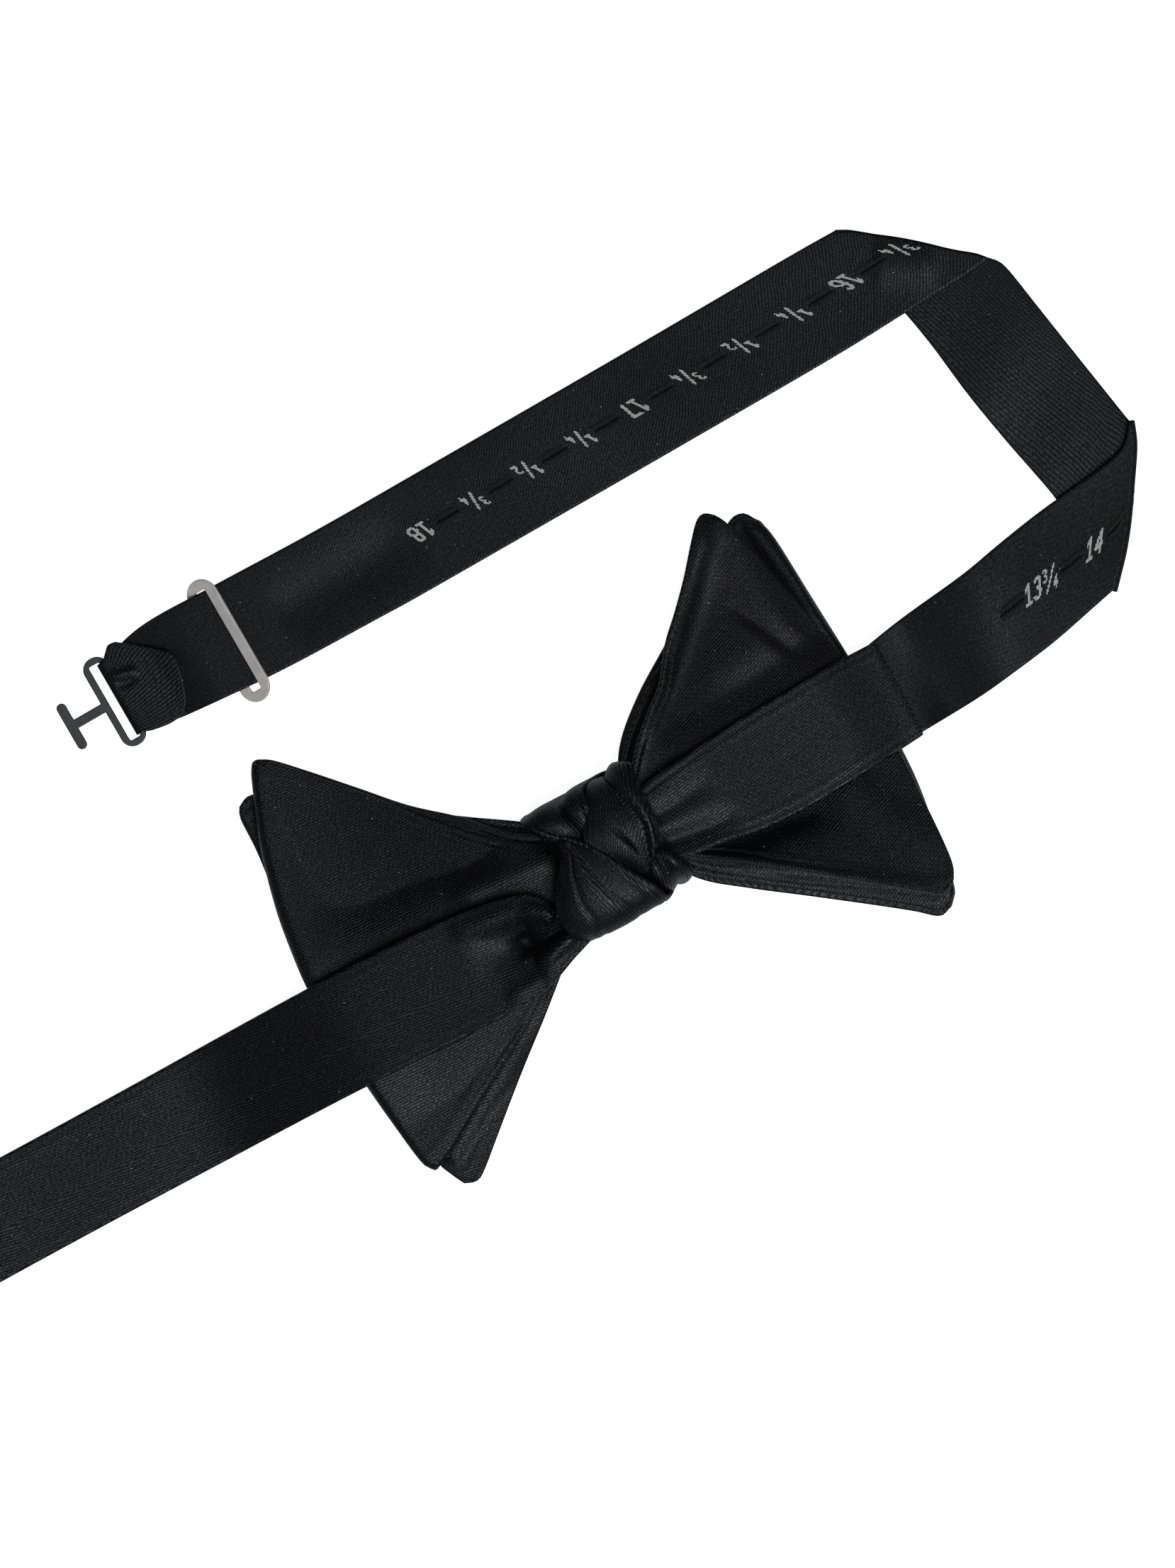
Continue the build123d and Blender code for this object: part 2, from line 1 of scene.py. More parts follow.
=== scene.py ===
import bmesh
import bpy
import numpy as np
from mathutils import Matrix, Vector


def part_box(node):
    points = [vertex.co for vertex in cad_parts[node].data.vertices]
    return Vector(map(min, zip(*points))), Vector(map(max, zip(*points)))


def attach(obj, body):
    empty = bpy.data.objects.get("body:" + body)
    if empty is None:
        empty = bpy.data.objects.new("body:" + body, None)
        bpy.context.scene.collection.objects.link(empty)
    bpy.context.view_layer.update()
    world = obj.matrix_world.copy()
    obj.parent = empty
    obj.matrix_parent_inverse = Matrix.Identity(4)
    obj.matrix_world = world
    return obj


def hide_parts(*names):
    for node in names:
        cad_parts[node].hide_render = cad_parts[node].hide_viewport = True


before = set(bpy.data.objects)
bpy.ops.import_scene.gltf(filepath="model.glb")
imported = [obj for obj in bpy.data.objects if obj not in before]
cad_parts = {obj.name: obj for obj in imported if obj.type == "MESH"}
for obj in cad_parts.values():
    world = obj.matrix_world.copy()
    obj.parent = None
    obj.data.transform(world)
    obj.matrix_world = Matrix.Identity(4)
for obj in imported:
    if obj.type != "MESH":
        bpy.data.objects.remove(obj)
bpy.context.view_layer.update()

# The front strip's blade end: the flat wing on the left that lies on the table. Two satin panels are
# sewn face to face round a soft interlining and turned right side out, so every edge is a seam.
# Lengths in this file are millimetres from the middle of the knot, until a mesh is made.


def smooth_line(points, count):
    """Evenly spaced points on a curve through the given ones.

    Each stretch is the cubic whose slope at a point runs parallel to the line between its neighbours.
    """
    p = np.array(points, float)
    p = np.vstack([2 * p[0] - p[1], p, 2 * p[-1] - p[-2]])
    t = np.linspace(0, len(p) - 3, 60 * (len(p) - 3) + 1)
    k = np.minimum(t.astype(int), len(p) - 4)
    f = (t - k)[:, None]
    a, b, c, d = p[k], p[k + 1], p[k + 2], p[k + 3]
    fine = b + 0.5 * f * (c - a + f * (2 * a - 5 * b + 4 * c - d + f * (3 * (b - c) + d - a)))
    run = np.r_[0, np.cumsum(np.linalg.norm(np.diff(fine, axis=0), axis=1))]
    want = np.linspace(0, run[-1], count)
    return np.stack([np.interp(want, run, column) for column in fine.T], axis=1)


def patch(root, outer, low, high, rows, columns):
    """A plan between four edge curves: the blend of both pairs of opposite edges, less the corners."""
    root, outer = smooth_line(root, columns), smooth_line(outer, columns)
    low, high = smooth_line(low, rows), smooth_line(high, rows)
    u = np.linspace(0, 1, rows)[:, None, None]
    v = np.linspace(0, 1, columns)[None, :, None]
    across = (1 - v) * low[:, None] + v * high[:, None]
    along = (1 - u) * root[None] + u * outer[None]
    corners = ((1 - u) * (1 - v) * root[0] + (1 - u) * v * root[-1]
               + u * (1 - v) * outer[0] + u * v * outer[-1])
    return across + along - corners


def fade(t):
    """A smooth step from 0 to 1, which is 0 below 0 and 1 above 1."""
    t = np.clip(t, 0, 1)
    return t * t * (3 - 2 * t)


def fold(plan, start, end, width, height, head=0.12, tail=0.4):
    """Height of a soft fold: a bell across the line from start to end. It grows over its first part and
    dies away over its last, by a smooth step whose reach is a share of the line."""
    start, end = np.array(start, float), np.array(end, float)
    line = end - start
    t = ((plan[..., :2] - start) @ line) / (line @ line)
    near = np.clip(t, 0, 1)
    away = np.linalg.norm(plan[..., :2] - start - near[..., None] * line, axis=-1)
    ends = fade((t + head) / (2 * head)) * fade((1 + tail / 2 - t) / tail)
    return height * np.exp(-(away / width) ** 2) * ends


def folds(plan, *lines):
    """The sum of several soft folds, each given by what fold takes after the plan."""
    return sum(fold(plan, *line) for line in lines)


def ripples(plan, size, seed):
    """Gentle unevenness, from -1 to 1: the mean of six plane waves about size long, in all directions."""
    pick = np.random.default_rng(seed)
    total = 0
    for turn, phase, stretch in pick.uniform(0, 1, (6, 3)):
        angle = 2 * np.pi * turn
        reach = plan[..., 0] * np.cos(angle) + plan[..., 1] * np.sin(angle)
        total = total + np.sin(2 * np.pi * (reach / (size * (0.7 + stretch)) + phase))
    return total / 6


def with_height(plan, height):
    """A plan and its height as one grid of points."""
    return np.concatenate([plan[..., :2], np.broadcast_to(height, plan.shape[:2])[..., None]], axis=-1)


def frame_of(mid):
    """A grid's unit normals, and the unit vectors that point out of its border along the surface."""
    along, across = np.gradient(mid, axis=0), np.gradient(mid, axis=1)
    normal = np.cross(along, across)
    normal /= np.linalg.norm(normal, axis=-1, keepdims=True) + 1e-9
    rows, columns = mid.shape[:2]
    index = np.arange(rows * columns).reshape(rows, columns)
    border = np.concatenate([index[:-1, 0], index[-1, :-1], index[:0:-1, -1], index[0, :0:-1]])
    ring = mid.reshape(-1, 3)[border]
    ahead = np.roll(ring, -1, axis=0) - np.roll(ring, 1, axis=0)
    out = np.cross(ahead, normal.reshape(-1, 3)[border])
    out /= np.linalg.norm(out, axis=-1, keepdims=True) + 1e-9
    return normal, border, out


def shell(mid, profile, uv):
    """A closed cloth shell round a grid.

    profile lists (outward, up) pairs in millimetres, from the grid's one face round its border to its
    other face. The first and last pairs set the two faces, and the pairs between are carried round the
    border. Returns vertices, four-sided faces and the cloth coordinates of each vertex.
    """
    normal, border, out = frame_of(mid)
    rows, columns = mid.shape[:2]
    first, last = profile[0][1], profile[-1][1]
    top, bottom = mid + normal * first, mid + normal * last
    ring, up = mid.reshape(-1, 3)[border], normal.reshape(-1, 3)[border]
    rings = [ring + out * side + up * rise for side, rise in profile[1:-1]]
    points = np.concatenate([top.reshape(-1, 3), bottom.reshape(-1, 3), *rings])
    index = np.arange(rows * columns).reshape(rows, columns)
    quads = np.stack([index[:-1, :-1], index[1:, :-1], index[1:, 1:], index[:-1, 1:]], -1).reshape(-1, 4)
    count = rows * columns
    loops = [border]
    for n in range(len(rings)):
        loops.append(2 * count + n * len(border) + np.arange(len(border)))
    loops.append(border + count)
    faces = [quads, quads[:, ::-1] + count]
    for upper, lower in zip(loops[:-1], loops[1:]):
        faces.append(np.stack([upper, lower, np.roll(lower, -1), np.roll(upper, -1)], axis=1))
    faces = np.concatenate(faces)
    if first < last:
        faces = faces[:, ::-1]
    flat = uv.reshape(-1, 2)
    spread = [flat[border] + 0.5 * (side + abs(rise - first)) for side, rise in profile[1:-1]]
    return points, faces, np.concatenate([flat, flat, *spread])


def cloth_coordinates(mid, lengthwise=0):
    """Where each point lies on the flat cloth: its run along the strip, and its place across it."""
    other = 1 - lengthwise
    step = np.diff(mid, axis=0)
    run = np.linalg.norm(step[..., [lengthwise, 2]], axis=-1)
    run = np.concatenate([np.zeros((1, mid.shape[1])), np.cumsum(run, axis=0)])
    return np.stack([mid[:1, :, lengthwise] + run, mid[..., other]], axis=-1)


def make_piece(name, points, faces, uv, material, body, slot):
    """Puts points, faces and cloth coordinates into a mesh, and rides it on a body."""
    mesh = bpy.data.meshes.new(name)
    mesh.vertices.add(len(points))
    mesh.vertices.foreach_set("co", np.asarray(points * 0.001, np.float32).ravel())
    sides = faces.shape[1]
    mesh.loops.add(faces.size)
    mesh.loops.foreach_set("vertex_index", faces.astype(np.int32).ravel())
    mesh.polygons.add(len(faces))
    mesh.polygons.foreach_set("loop_start", np.arange(0, faces.size, sides, dtype=np.int32))
    mesh.update(calc_edges=True)
    mesh.polygons.foreach_set("use_smooth", np.ones(len(faces), bool))
    layer = mesh.uv_layers.new(name="cloth")
    layer.data.foreach_set("uv", np.asarray(uv[faces.ravel()], np.float32).ravel())
    mesh.materials.append(material)
    mesh.validate()
    obj = bpy.data.objects.new(name, mesh)
    bpy.context.collection.objects.link(obj)
    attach(obj, body)
    return obj


def node(tree, kind, **values):
    """A shader node with the named properties and unlinked inputs set."""
    made = tree.nodes.new(kind)
    for key, value in values.items():
        if hasattr(made, key):
            setattr(made, key, value)
        else:
            made.inputs[key.replace("_", " ")].default_value = value
    return made


def math_node(tree, operation, first, second=None):
    """A Math node on two values, each a number or the output of another node."""
    made = tree.nodes.new("ShaderNodeMath")
    made.operation = operation
    for socket, value in zip(made.inputs, (first, second)):
        if isinstance(value, (int, float)):
            socket.default_value = value
        elif value is not None:
            tree.links.new(value, socket)
    return made.outputs[0]


def start_material(name):
    """A new material, its node tree, the function that links two sockets, and its shader."""
    material = bpy.data.materials.new(name)
    material.use_nodes = True
    tree = material.node_tree
    return material, tree, tree.links.new, tree.nodes["Principled BSDF"]


def mixed_colour(tree, dark, light, factor):
    """A colour between two, by a factor that changes over the surface. Either may be another's output."""
    made = node(tree, "ShaderNodeMix", data_type="RGBA")
    for socket, value in (("A", dark), ("B", light), ("Factor", factor)):
        if isinstance(value, tuple):
            made.inputs[socket].default_value = (*value, 1)
        else:
            tree.links.new(value, made.inputs[socket])
    return made.outputs["Result"]


def add_bump(tree, height, strength, depth):
    """Relief from a height that changes over the surface. depth is in metres."""
    bump = node(tree, "ShaderNodeBump", Strength=strength, Distance=depth)
    tree.links.new(height, bump.inputs["Height"])
    tree.links.new(bump.outputs[0], tree.nodes["Principled BSDF"].inputs["Normal"])


def start_group(name, inputs, outputs):
    """An empty shader node group with the named sockets."""
    group = bpy.data.node_groups.new(name, "ShaderNodeTree")
    for key, kind, value in inputs:
        socket = group.interface.new_socket(name=key, in_out="INPUT", socket_type=kind)
        if value is not None:
            socket.default_value = value
    for key, kind in outputs:
        group.interface.new_socket(name=key, in_out="OUTPUT", socket_type=kind)
    return group, group.nodes.new("NodeGroupInput"), group.nodes.new("NodeGroupOutput")


def twill_group():
    """Diagonal weave: ridges across the cloth at an angle, cut into floats, with uneven threads. Its tone,
    which colours the cloth, holds painted shade between floats and painted glints.

    The ridges are a sine of the distance across the twill, bent a little by slow noise. Each float is a
    blunt arch along the ridge, and each ridge starts its floats a step later than the last.
    """
    number, vector = "NodeSocketFloat", "NodeSocketVector"
    group, given, result = start_group(
        "twill_weave",
        [("Cloth", vector, None), ("Angle", number, 0.0), ("Pitch", number, 0.4), ("Float", number, 1.1)],
        [("Height", number), ("Tone_with_painted_light", number), ("Glint", number)])
    link = group.links.new

    def calc(operation, first, second=None):
        return math_node(group, operation, first, second)

    def on_cloth(kind, **values):
        made = node(group, kind, **values)
        link(given.outputs["Cloth"], made.inputs["Vector"])
        return made

    def spread_between(value, low, high):
        made = node(group, "ShaderNodeMapRange", From_Min=low, From_Max=high, To_Min=0.0, To_Max=1.0)
        link(value, made.inputs["Value"])
        return made.outputs[0]

    wander = on_cloth("ShaderNodeTexNoise", Scale=0.16, Detail=1.0)
    turn = on_cloth("ShaderNodeVectorRotate", rotation_type="Z_AXIS")
    link(given.outputs["Angle"], turn.inputs["Angle"])
    parts = group.nodes.new("ShaderNodeSeparateXYZ")
    link(turn.outputs[0], parts.inputs[0])
    across = calc("ADD", parts.outputs[1], calc("MULTIPLY", wander.outputs[0], 0.9))
    across = calc("DIVIDE", across, given.outputs["Pitch"])
    wave = calc("SINE", calc("MULTIPLY", across, 2 * np.pi))
    later = calc("MULTIPLY", calc("FLOOR", across), 0.37)
    along = calc("ADD", calc("DIVIDE", parts.outputs[0], given.outputs["Float"]), later)
    floats = calc("POWER", calc("ABSOLUTE", calc("SINE", calc("MULTIPLY", along, np.pi))), 0.3)
    height = calc("MULTIPLY", calc("ADD", calc("MULTIPLY", wave, 0.5), 0.5), floats)
    thread = on_cloth("ShaderNodeTexNoise", Scale=2.0, Detail=4.0, Roughness=0.75)
    grain = spread_between(thread.outputs[0], 0.38, 0.66)
    # Painted glints: small bright specks of highlight added to the tone; the roughness is lower there too.
    spark = on_cloth("ShaderNodeTexVoronoi", Scale=0.85)
    painted_glint_spots = spread_between(spark.outputs["Distance"], 0.17, 0.07)
    # Painted shade: the tone is darker in the gaps between floats and lighter on their tops, times the grain.
    grain_and_gap_shade = calc("MULTIPLY", calc("ADD", calc("MULTIPLY", height, 0.95), 0.05),
                calc("ADD", calc("MULTIPLY", grain, 0.95), 0.08))
    link(calc("ADD", grain_and_gap_shade, calc("MULTIPLY", painted_glint_spots, 0.45)), result.inputs["Tone_with_painted_light"])
    slub = on_cloth("ShaderNodeTexNoise", Scale=1.5, Detail=2.0, Roughness=0.6)
    relief = calc("ADD", calc("MULTIPLY", height, 0.7), calc("MULTIPLY", slub.outputs[0], 1.5))
    link(relief, result.inputs["Height"])
    link(calc("MULTIPLY", painted_glint_spots, grain), result.inputs["Glint"])
    return group


def lint_group():
    """Sparse pale specks of lint, from 0 to 1, and slow patches where the cloth was handled."""
    number, vector = "NodeSocketFloat", "NodeSocketVector"
    group, given, result = start_group("lint", [("Place", vector, None), ("Spread", number, 300.0)],
                                       [("Lint", number), ("Handled", number)])
    link = group.links.new
    dots = node(group, "ShaderNodeTexVoronoi")
    link(given.outputs["Place"], dots.inputs["Vector"])
    link(given.outputs["Spread"], dots.inputs["Scale"])
    small = node(group, "ShaderNodeMapRange", From_Min=0.045, From_Max=0.02, To_Min=0.0, To_Max=1.0)
    link(dots.outputs["Distance"], small.inputs["Value"])
    patchy = node(group, "ShaderNodeTexNoise", Scale=45.0, Detail=2.0)
    link(given.outputs["Place"], patchy.inputs["Vector"])
    soft = node(group, "ShaderNodeMapRange", From_Min=0.35, From_Max=0.65, To_Min=0.0, To_Max=1.0)
    link(patchy.outputs[0], soft.inputs["Value"])
    link(small.outputs[0], result.inputs["Lint"])
    link(soft.outputs[0], result.inputs["Handled"])
    return group


TWILL, LINT = twill_group(), lint_group()


LINT_COLOUR = (0.22, 0.22, 0.24)
THREAD_DEPTH = 0.00016    # metres from the top of a thread to the gap beside it
COAT_ROUGH = 0.42         # the sheen of the long floats, broad along every fold
COAT_IOR = 1.45
CLOTH_SPECULAR = 0.08
CLOTH_SHEEN, SHEEN_ROUGH, SHEEN_TINT = 0.004, 0.45, (0.75, 0.8, 1.0)
HANDLED_CHANGE = 0.05     # how much smoother or rougher the cloth is where it was handled
GLINT_CHANGE = 0.12       # how much smoother a thread is under a painted glint


def woven_material(name, angle, pitch, dark, light, roughness, relief, gloss=0.0):
    """A woven cloth. Its twill runs at angle, and its colour runs between two: darker by painted shade
    between floats, lighter at painted glints, and at random from thread to thread.

    gloss is the weight of the clear sheen on the highest threads.
    """
    material, tree, link, shader = start_material(name)
    weave = node(tree, "ShaderNodeGroup", node_tree=TWILL)
    weave.inputs["Angle"].default_value = np.radians(angle)
    weave.inputs["Pitch"].default_value = pitch
    link(node(tree, "ShaderNodeUVMap", uv_map="cloth").outputs[0], weave.inputs["Cloth"])
    lint = node(tree, "ShaderNodeGroup", node_tree=LINT)
    link(tree.nodes.new("ShaderNodeTexCoord").outputs["Object"], lint.inputs["Place"])
    # Base colour by the weave's tone: painted shade between floats, painted glints and the random grain.
    colour = mixed_colour(tree, dark, light, weave.outputs["Tone_with_painted_light"])
    link(mixed_colour(tree, colour, LINT_COLOUR, lint.outputs["Lint"]), shader.inputs["Base Color"])
    rough = node(tree, "ShaderNodeMapRange", To_Min=roughness + HANDLED_CHANGE,
                 To_Max=roughness - HANDLED_CHANGE)
    link(lint.outputs["Handled"], rough.inputs["Value"])
    glint = math_node(tree, "MULTIPLY", weave.outputs["Glint"], GLINT_CHANGE)
    link(math_node(tree, "SUBTRACT", rough.outputs[0], glint), shader.inputs["Roughness"])
    link(math_node(tree, "MULTIPLY", weave.outputs["Tone_with_painted_light"], gloss), shader.inputs["Coat Weight"])
    add_bump(tree, weave.outputs["Height"], relief, THREAD_DEPTH)
    for socket, value in (("Coat Roughness", COAT_ROUGH), ("Coat IOR", COAT_IOR),
                          ("Specular IOR Level", CLOTH_SPECULAR), ("Sheen Weight", CLOTH_SHEEN),
                          ("Sheen Roughness", SHEEN_ROUGH), ("Sheen Tint", (*SHEEN_TINT, 1))):
        shader.inputs[socket].default_value = value
    return material


# The satin runs from SATIN_DARK, in painted shade between floats, to SATIN_LIGHT on tops and painted glints.
SATIN_DARK, SATIN_LIGHT = (0.0003, 0.0003, 0.0004), (0.0045, 0.0047, 0.0064)
SATIN_PITCH = 0.55       # from one twill line to the next
SATIN_ROUGH, SATIN_RELIEF, SATIN_GLOSS = 0.4, 1.1, 0.74
# The interlining runs from LINING_DARK, in painted shade between floats, to LINING_LIGHT at painted glints.
LINING_DARK, LINING_LIGHT = (0.32, 0.30, 0.26), (0.62, 0.60, 0.54)
LINING_PITCH, LINING_ROUGH, LINING_RELIEF = 0.8, 0.85, 0.8
LINING_HALF = 0.2        # half the thickness of the interlining
LINING_INSET = 2         # how many rows of the grid it stops short of the seam
STRIP_HALF = 0.62        # half the thickness of a sewn strip
SATIN_SKIN = 0.3         # thickness of one satin panel
SEAM_ROLL = 0.5          # how far the turned edge bulges past the seam
SEAM_GROOVE, SEAM_RIDGE = 1.15, 1.9     # how far in from a long seam the double line's two parts lie


def satin(name, angle):
    """The black satin, with its twill lines at an angle in degrees to the strip."""
    return woven_material(name, angle, SATIN_PITCH, SATIN_DARK, SATIN_LIGHT, SATIN_ROUGH, SATIN_RELIEF,
                          SATIN_GLOSS)


lining_cloth = woven_material("wool_interlining", 0, LINING_PITCH, LINING_DARK, LINING_LIGHT,
                              LINING_ROUGH, LINING_RELIEF)


def half_seam(side):
    """The section of one panel: its outer face, the rolled edge, the stitched groove, its inner face."""
    turn = np.radians([0, 25, 50, 72, 88])
    section = [(SEAM_ROLL * np.sin(a), side * STRIP_HALF * np.cos(a)) for a in turn]
    section += [(SEAM_ROLL * 0.55, side * 0.03), (-0.4, side * 0.06)]
    return [*section, (0, side * (STRIP_HALF - SATIN_SKIN))]


def sewn_strip(name, mid, angle):
    """The face panel, the back panel and the interlining of a sewn strip, each a closed shell.
    """
    uv = cloth_coordinates(mid)
    cloth = satin("satin_" + name, angle)
    inset = slice(LINING_INSET, -LINING_INSET)
    lining_edge = [(0, LINING_HALF), (LINING_HALF, 0), (0, -LINING_HALF)]
    for part, finish, grid, place, edge, material, slot in (
            ("face_panel", "satin", mid, uv, half_seam(-1), cloth, "black_satin"),
            ("back_panel", "satin", mid, uv, half_seam(1), cloth, "black_satin"),
            ("interlining", "cloth", mid[inset, inset], uv[inset, inset], lining_edge, lining_cloth,
             "interlining")):
        piece = make_piece(f"{name}_{part}_{finish}", *shell(grid, edge, place), material, "cloth", slot)
        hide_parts(f"{name}_{part}")


def seam_relief(mid, strength=1.0):
    """The double line inside each long seam, where the turned-in edge ends: a groove, then a ridge."""
    low = np.linalg.norm(mid[:, :1, :2] - mid[..., :2], axis=-1)
    high = np.linalg.norm(mid[:, -1:, :2] - mid[..., :2], axis=-1)
    near = np.minimum(low, high)
    ridge = 0.12 * np.exp(-((near - SEAM_RIDGE) / 0.45) ** 2)
    return strength * (ridge - 0.14 * np.exp(-((near - SEAM_GROOVE) / 0.3) ** 2))


front_blade_plan = patch(
    root=[(-9, -6), (-9, 0), (-9, 6.5)],
    outer=[(-61.5, -46.8), (-63, -43.5), (-64, -40), (-65, -26), (-66.2, 0), (-65.5, 22), (-64.2, 34),
           (-63.8, 41), (-62.9, 43.2)],
    low=[(-9, -6), (-14, -12.5), (-21, -17.6), (-30, -24.8), (-40, -32.5), (-50, -40.6), (-57, -46.3),
         (-59.3, -47.5), (-61.5, -46.8)],
    high=[(-9, 6.5), (-14, 11), (-25, 18.8), (-40, 30), (-52, 38.8), (-58, 43), (-60.6, 44.1), (-62.9, 43.2)],
    rows=84, columns=84)
reach = np.linspace(0, 1, 84)[:, None]     # from the knot to the outer edge
side = np.linspace(0, 1, 84)[None]         # from the lower seam to the upper
height = STRIP_HALF + 0.15 + 4.6 * (1 - fade(reach / 0.75))
height = height + 0.5 * (1 - fade(reach / 0.5)) * np.sin(2 * np.pi * (2.6 * side + 0.2))
height = height + 0.45 * fade(reach / 0.3) * (1 + ripples(front_blade_plan, 34, 3))
height = height + fold(front_blade_plan, (-27, -21.6), (-62.5, -41.4), 2.6, 1.4, 0.3, 0.1)
height = height - 1.0 * fade((-14 - front_blade_plan[..., 1]) / 30)
front_blade = with_height(front_blade_plan, np.maximum(height, STRIP_HALF + 0.2))
front_blade[..., 2] += seam_relief(front_blade)
sewn_strip("front_blade", front_blade, -10)

# The front strip's loop: the lower wing on the right. The same sewn strip runs out from the knot, turns
# over in an open fold and runs back, so its two layers have seams above and below but a fold at the end.


def loop_surface(upper, lower, upper_z, lower_z, bulge, turns=11):
    """A strip that runs out on one layer, round an open fold and back on the other.

    The fold is half an ellipse: it bulges out of the layers' common end, and is as high as their gap.
    """
    top, bottom = with_height(upper, upper_z), with_height(lower, lower_z)[::-1]
    end = (top[-1] + bottom[0]) / 2
    out = (top[-1] - top[-2]) + (bottom[0] - bottom[1])
    out[:, 2] = 0
    out /= np.linalg.norm(out, axis=-1, keepdims=True)
    half_gap = (top[-1] - bottom[0]) / 2
    angle = np.linspace(0, np.pi, turns + 2)[1:-1, None, None]
    turn = end + half_gap * np.cos(angle) + out * bulge[:, None] * np.sin(angle)
    return np.concatenate([top, turn, bottom])


LAYER_STEP = 1.35        # the least height from one layer's middle to the next
columns = 84
side = np.linspace(0, 1, columns)
upper = patch(
    root=[(7, -9), (7, 0), (7, 7.5)],
    outer=[(52.8, -46.8), (55.2, -44), (57.6, -30), (59.2, -16), (59.4, 8), (59.3, 22), (59.2, 36),
           (58.5, 41)],
    low=[(7, -9), (12, -15.4), (20, -21.9), (30, -29.6), (40, -37.4), (47, -43), (51, -46.4), (52.8, -46.8)],
    high=[(7, 7.5), (12, 14), (20, 20.8), (30, 27), (42, 34.5), (53, 41.6), (56.4, 42.6), (58.5, 41)],
    rows=74, columns=columns)
lower = patch(
    root=[(7, -8), (7, 0), (7, 8)],
    outer=[(53.2, -47.6), (55.2, -44), (57.6, -30), (59.2, -16), (59.4, 8), (59.3, 22), (59.2, 36),
           (58.6, 41.4)],
    low=[(7, -8), (12, -16.4), (20, -23.3), (30, -31), (40, -38.8), (47, -44.4), (51, -47.9), (53.2, -47.6)],
    high=[(7, 8), (12, 15.4), (20, 22), (30, 28.2), (42, 35.8), (53, 43), (56.8, 43.8), (58.6, 41.4)],
    rows=74, columns=columns)
reach = np.linspace(0, 1, 74)[:, None]
gap = 1.5 + 2.3 * np.sin(np.pi * side) ** 0.7
low_z = STRIP_HALF + 0.15 + 4.2 * (1 - fade(reach / 0.8))
low_z = low_z + 0.35 * fade(reach / 0.3) * (1 + ripples(lower, 36, 5))
uneven = (1 + ripples(upper, 30, 6)) * fade(reach / 0.3) * (1 - fade((reach - 0.8) / 0.2))
high_z = low_z[-1] + gap + 3.0 * (1 - fade(reach / 0.85)) + 0.3 * uneven
high_z = high_z + 0.5 * (1 - fade(reach / 0.5)) * np.sin(2 * np.pi * (2.2 * side + 0.4))
high_z = high_z + folds(
    upper, ((57.6, 42), (60, 12), 1.8, 1.1), ((54, 45), (58.2, 22), 1.8, -0.7),
    ((13, -14.8), (54, -45.2), 0.9, -0.6, 0.1, 0.1), ((14, -13), (55, -42.6), 0.9, -0.5, 0.1, 0.1))
high_z = np.maximum(high_z, low_z + LAYER_STEP)
front_loop = loop_surface(upper, lower, high_z, low_z, 0.9 + 0.7 * np.sin(np.pi * side))
front_loop[..., 2] += seam_relief(front_loop)
sewn_strip("front_loop", front_loop, -20)

# The rear strip's loop: the upper wing on the left. It is made like the front loop, and its upper layer
# is drawn up under the band that lies over it, so it falls away in a step beside the band.
columns = 96
side = np.linspace(0, 1, columns)
upper = patch(
    root=[(-8, -8), (-8, -3), (-8, 2)],
    outer=[(-64.4, -40.4), (-65.8, -38), (-66.6, -28), (-67.1, -19), (-67.5, -6), (-67.3, 4), (-66.4, 12),
           (-64.9, 21), (-61.8, 33), (-58.8, 41), (-56.3, 47), (-55.4, 48.6)],
    low=[(-8, -8), (-17, -14), (-27, -20.3), (-35, -25.2), (-50, -33), (-60, -38.6), (-64.4, -40.4)],
    high=[(-8, 2), (-12, 4.6), (-18, 8.4), (-23.4, 13.4), (-32, 23), (-38.6, 31.4), (-47, 41), (-52.6, 47.4),
          (-55.4, 48.6)],
    rows=96, columns=columns)
lower = patch(
    root=[(-8, -7), (-8, -2), (-8, 5)],
    outer=[(-64.6, -41), (-65.8, -38), (-66.6, -28), (-67.1, -19), (-67.5, -6), (-67.3, 4), (-66.4, 12),
           (-64.9, 21), (-61.8, 33), (-58.8, 41), (-56.4, 47.4), (-55, 49.6)],
    low=[(-8, -7), (-17, -13), (-27, -19.4), (-35, -24.3), (-50, -32.2), (-60, -38), (-64.6, -41)],
    high=[(-8, 5), (-12, 7), (-18, 11), (-25, 18.6), (-33, 26), (-40, 34), (-46.5, 41.4), (-52.4, 47.8),
          (-55, 49.6)],
    rows=96, columns=columns)
reach = np.linspace(0, 1, 96)[:, None]
gap = 1.5 + 2.2 * np.sin(np.pi * side) ** 0.7
low_z = 3.3 + 4.6 * (1 - fade(reach / 0.85)) + 0.25 * ripples(lower, 36, 8) * fade(reach / 0.3)
rise = low_z[-1] + gap + 4.6 * (1 - fade(reach / 0.9))
rise = rise + 0.25 * ripples(upper, 26, 9) * fade(reach / 0.25) * (1 - fade((reach - 0.85) / 0.15))
x, y = upper[..., 0], upper[..., 1]
brow = 3.2 - 0.055 * (x + 12)    # where the step begins
drop = 3.4 * fade((-14 - x) / 20) * fade((70 + x) / 22)
rise = rise - drop * fade((y - brow) / 12) + 0.5 * drop * fade((y - brow - 12) / 26)
rise = rise + folds(upper, ((-24, 9.5), (-44, 20), 4.5, -0.9, 0.2, 0.8),
                    ((-12, 2.4), (-34, 4.4), 2.6, 1.3, 0.2, 0.3), ((-26, -9), (-22, -12), 5, -2.5))
rise = np.maximum(rise - 1.6 * fade((-14 - y) / 26), low_z + LAYER_STEP)
rear_loop = loop_surface(upper, lower, rise, low_z, 0.9 + 0.9 * np.sin(np.pi * side))
rear_loop[..., 2] += seam_relief(rear_loop)
sewn_strip("rear_loop", rear_loop, -4)

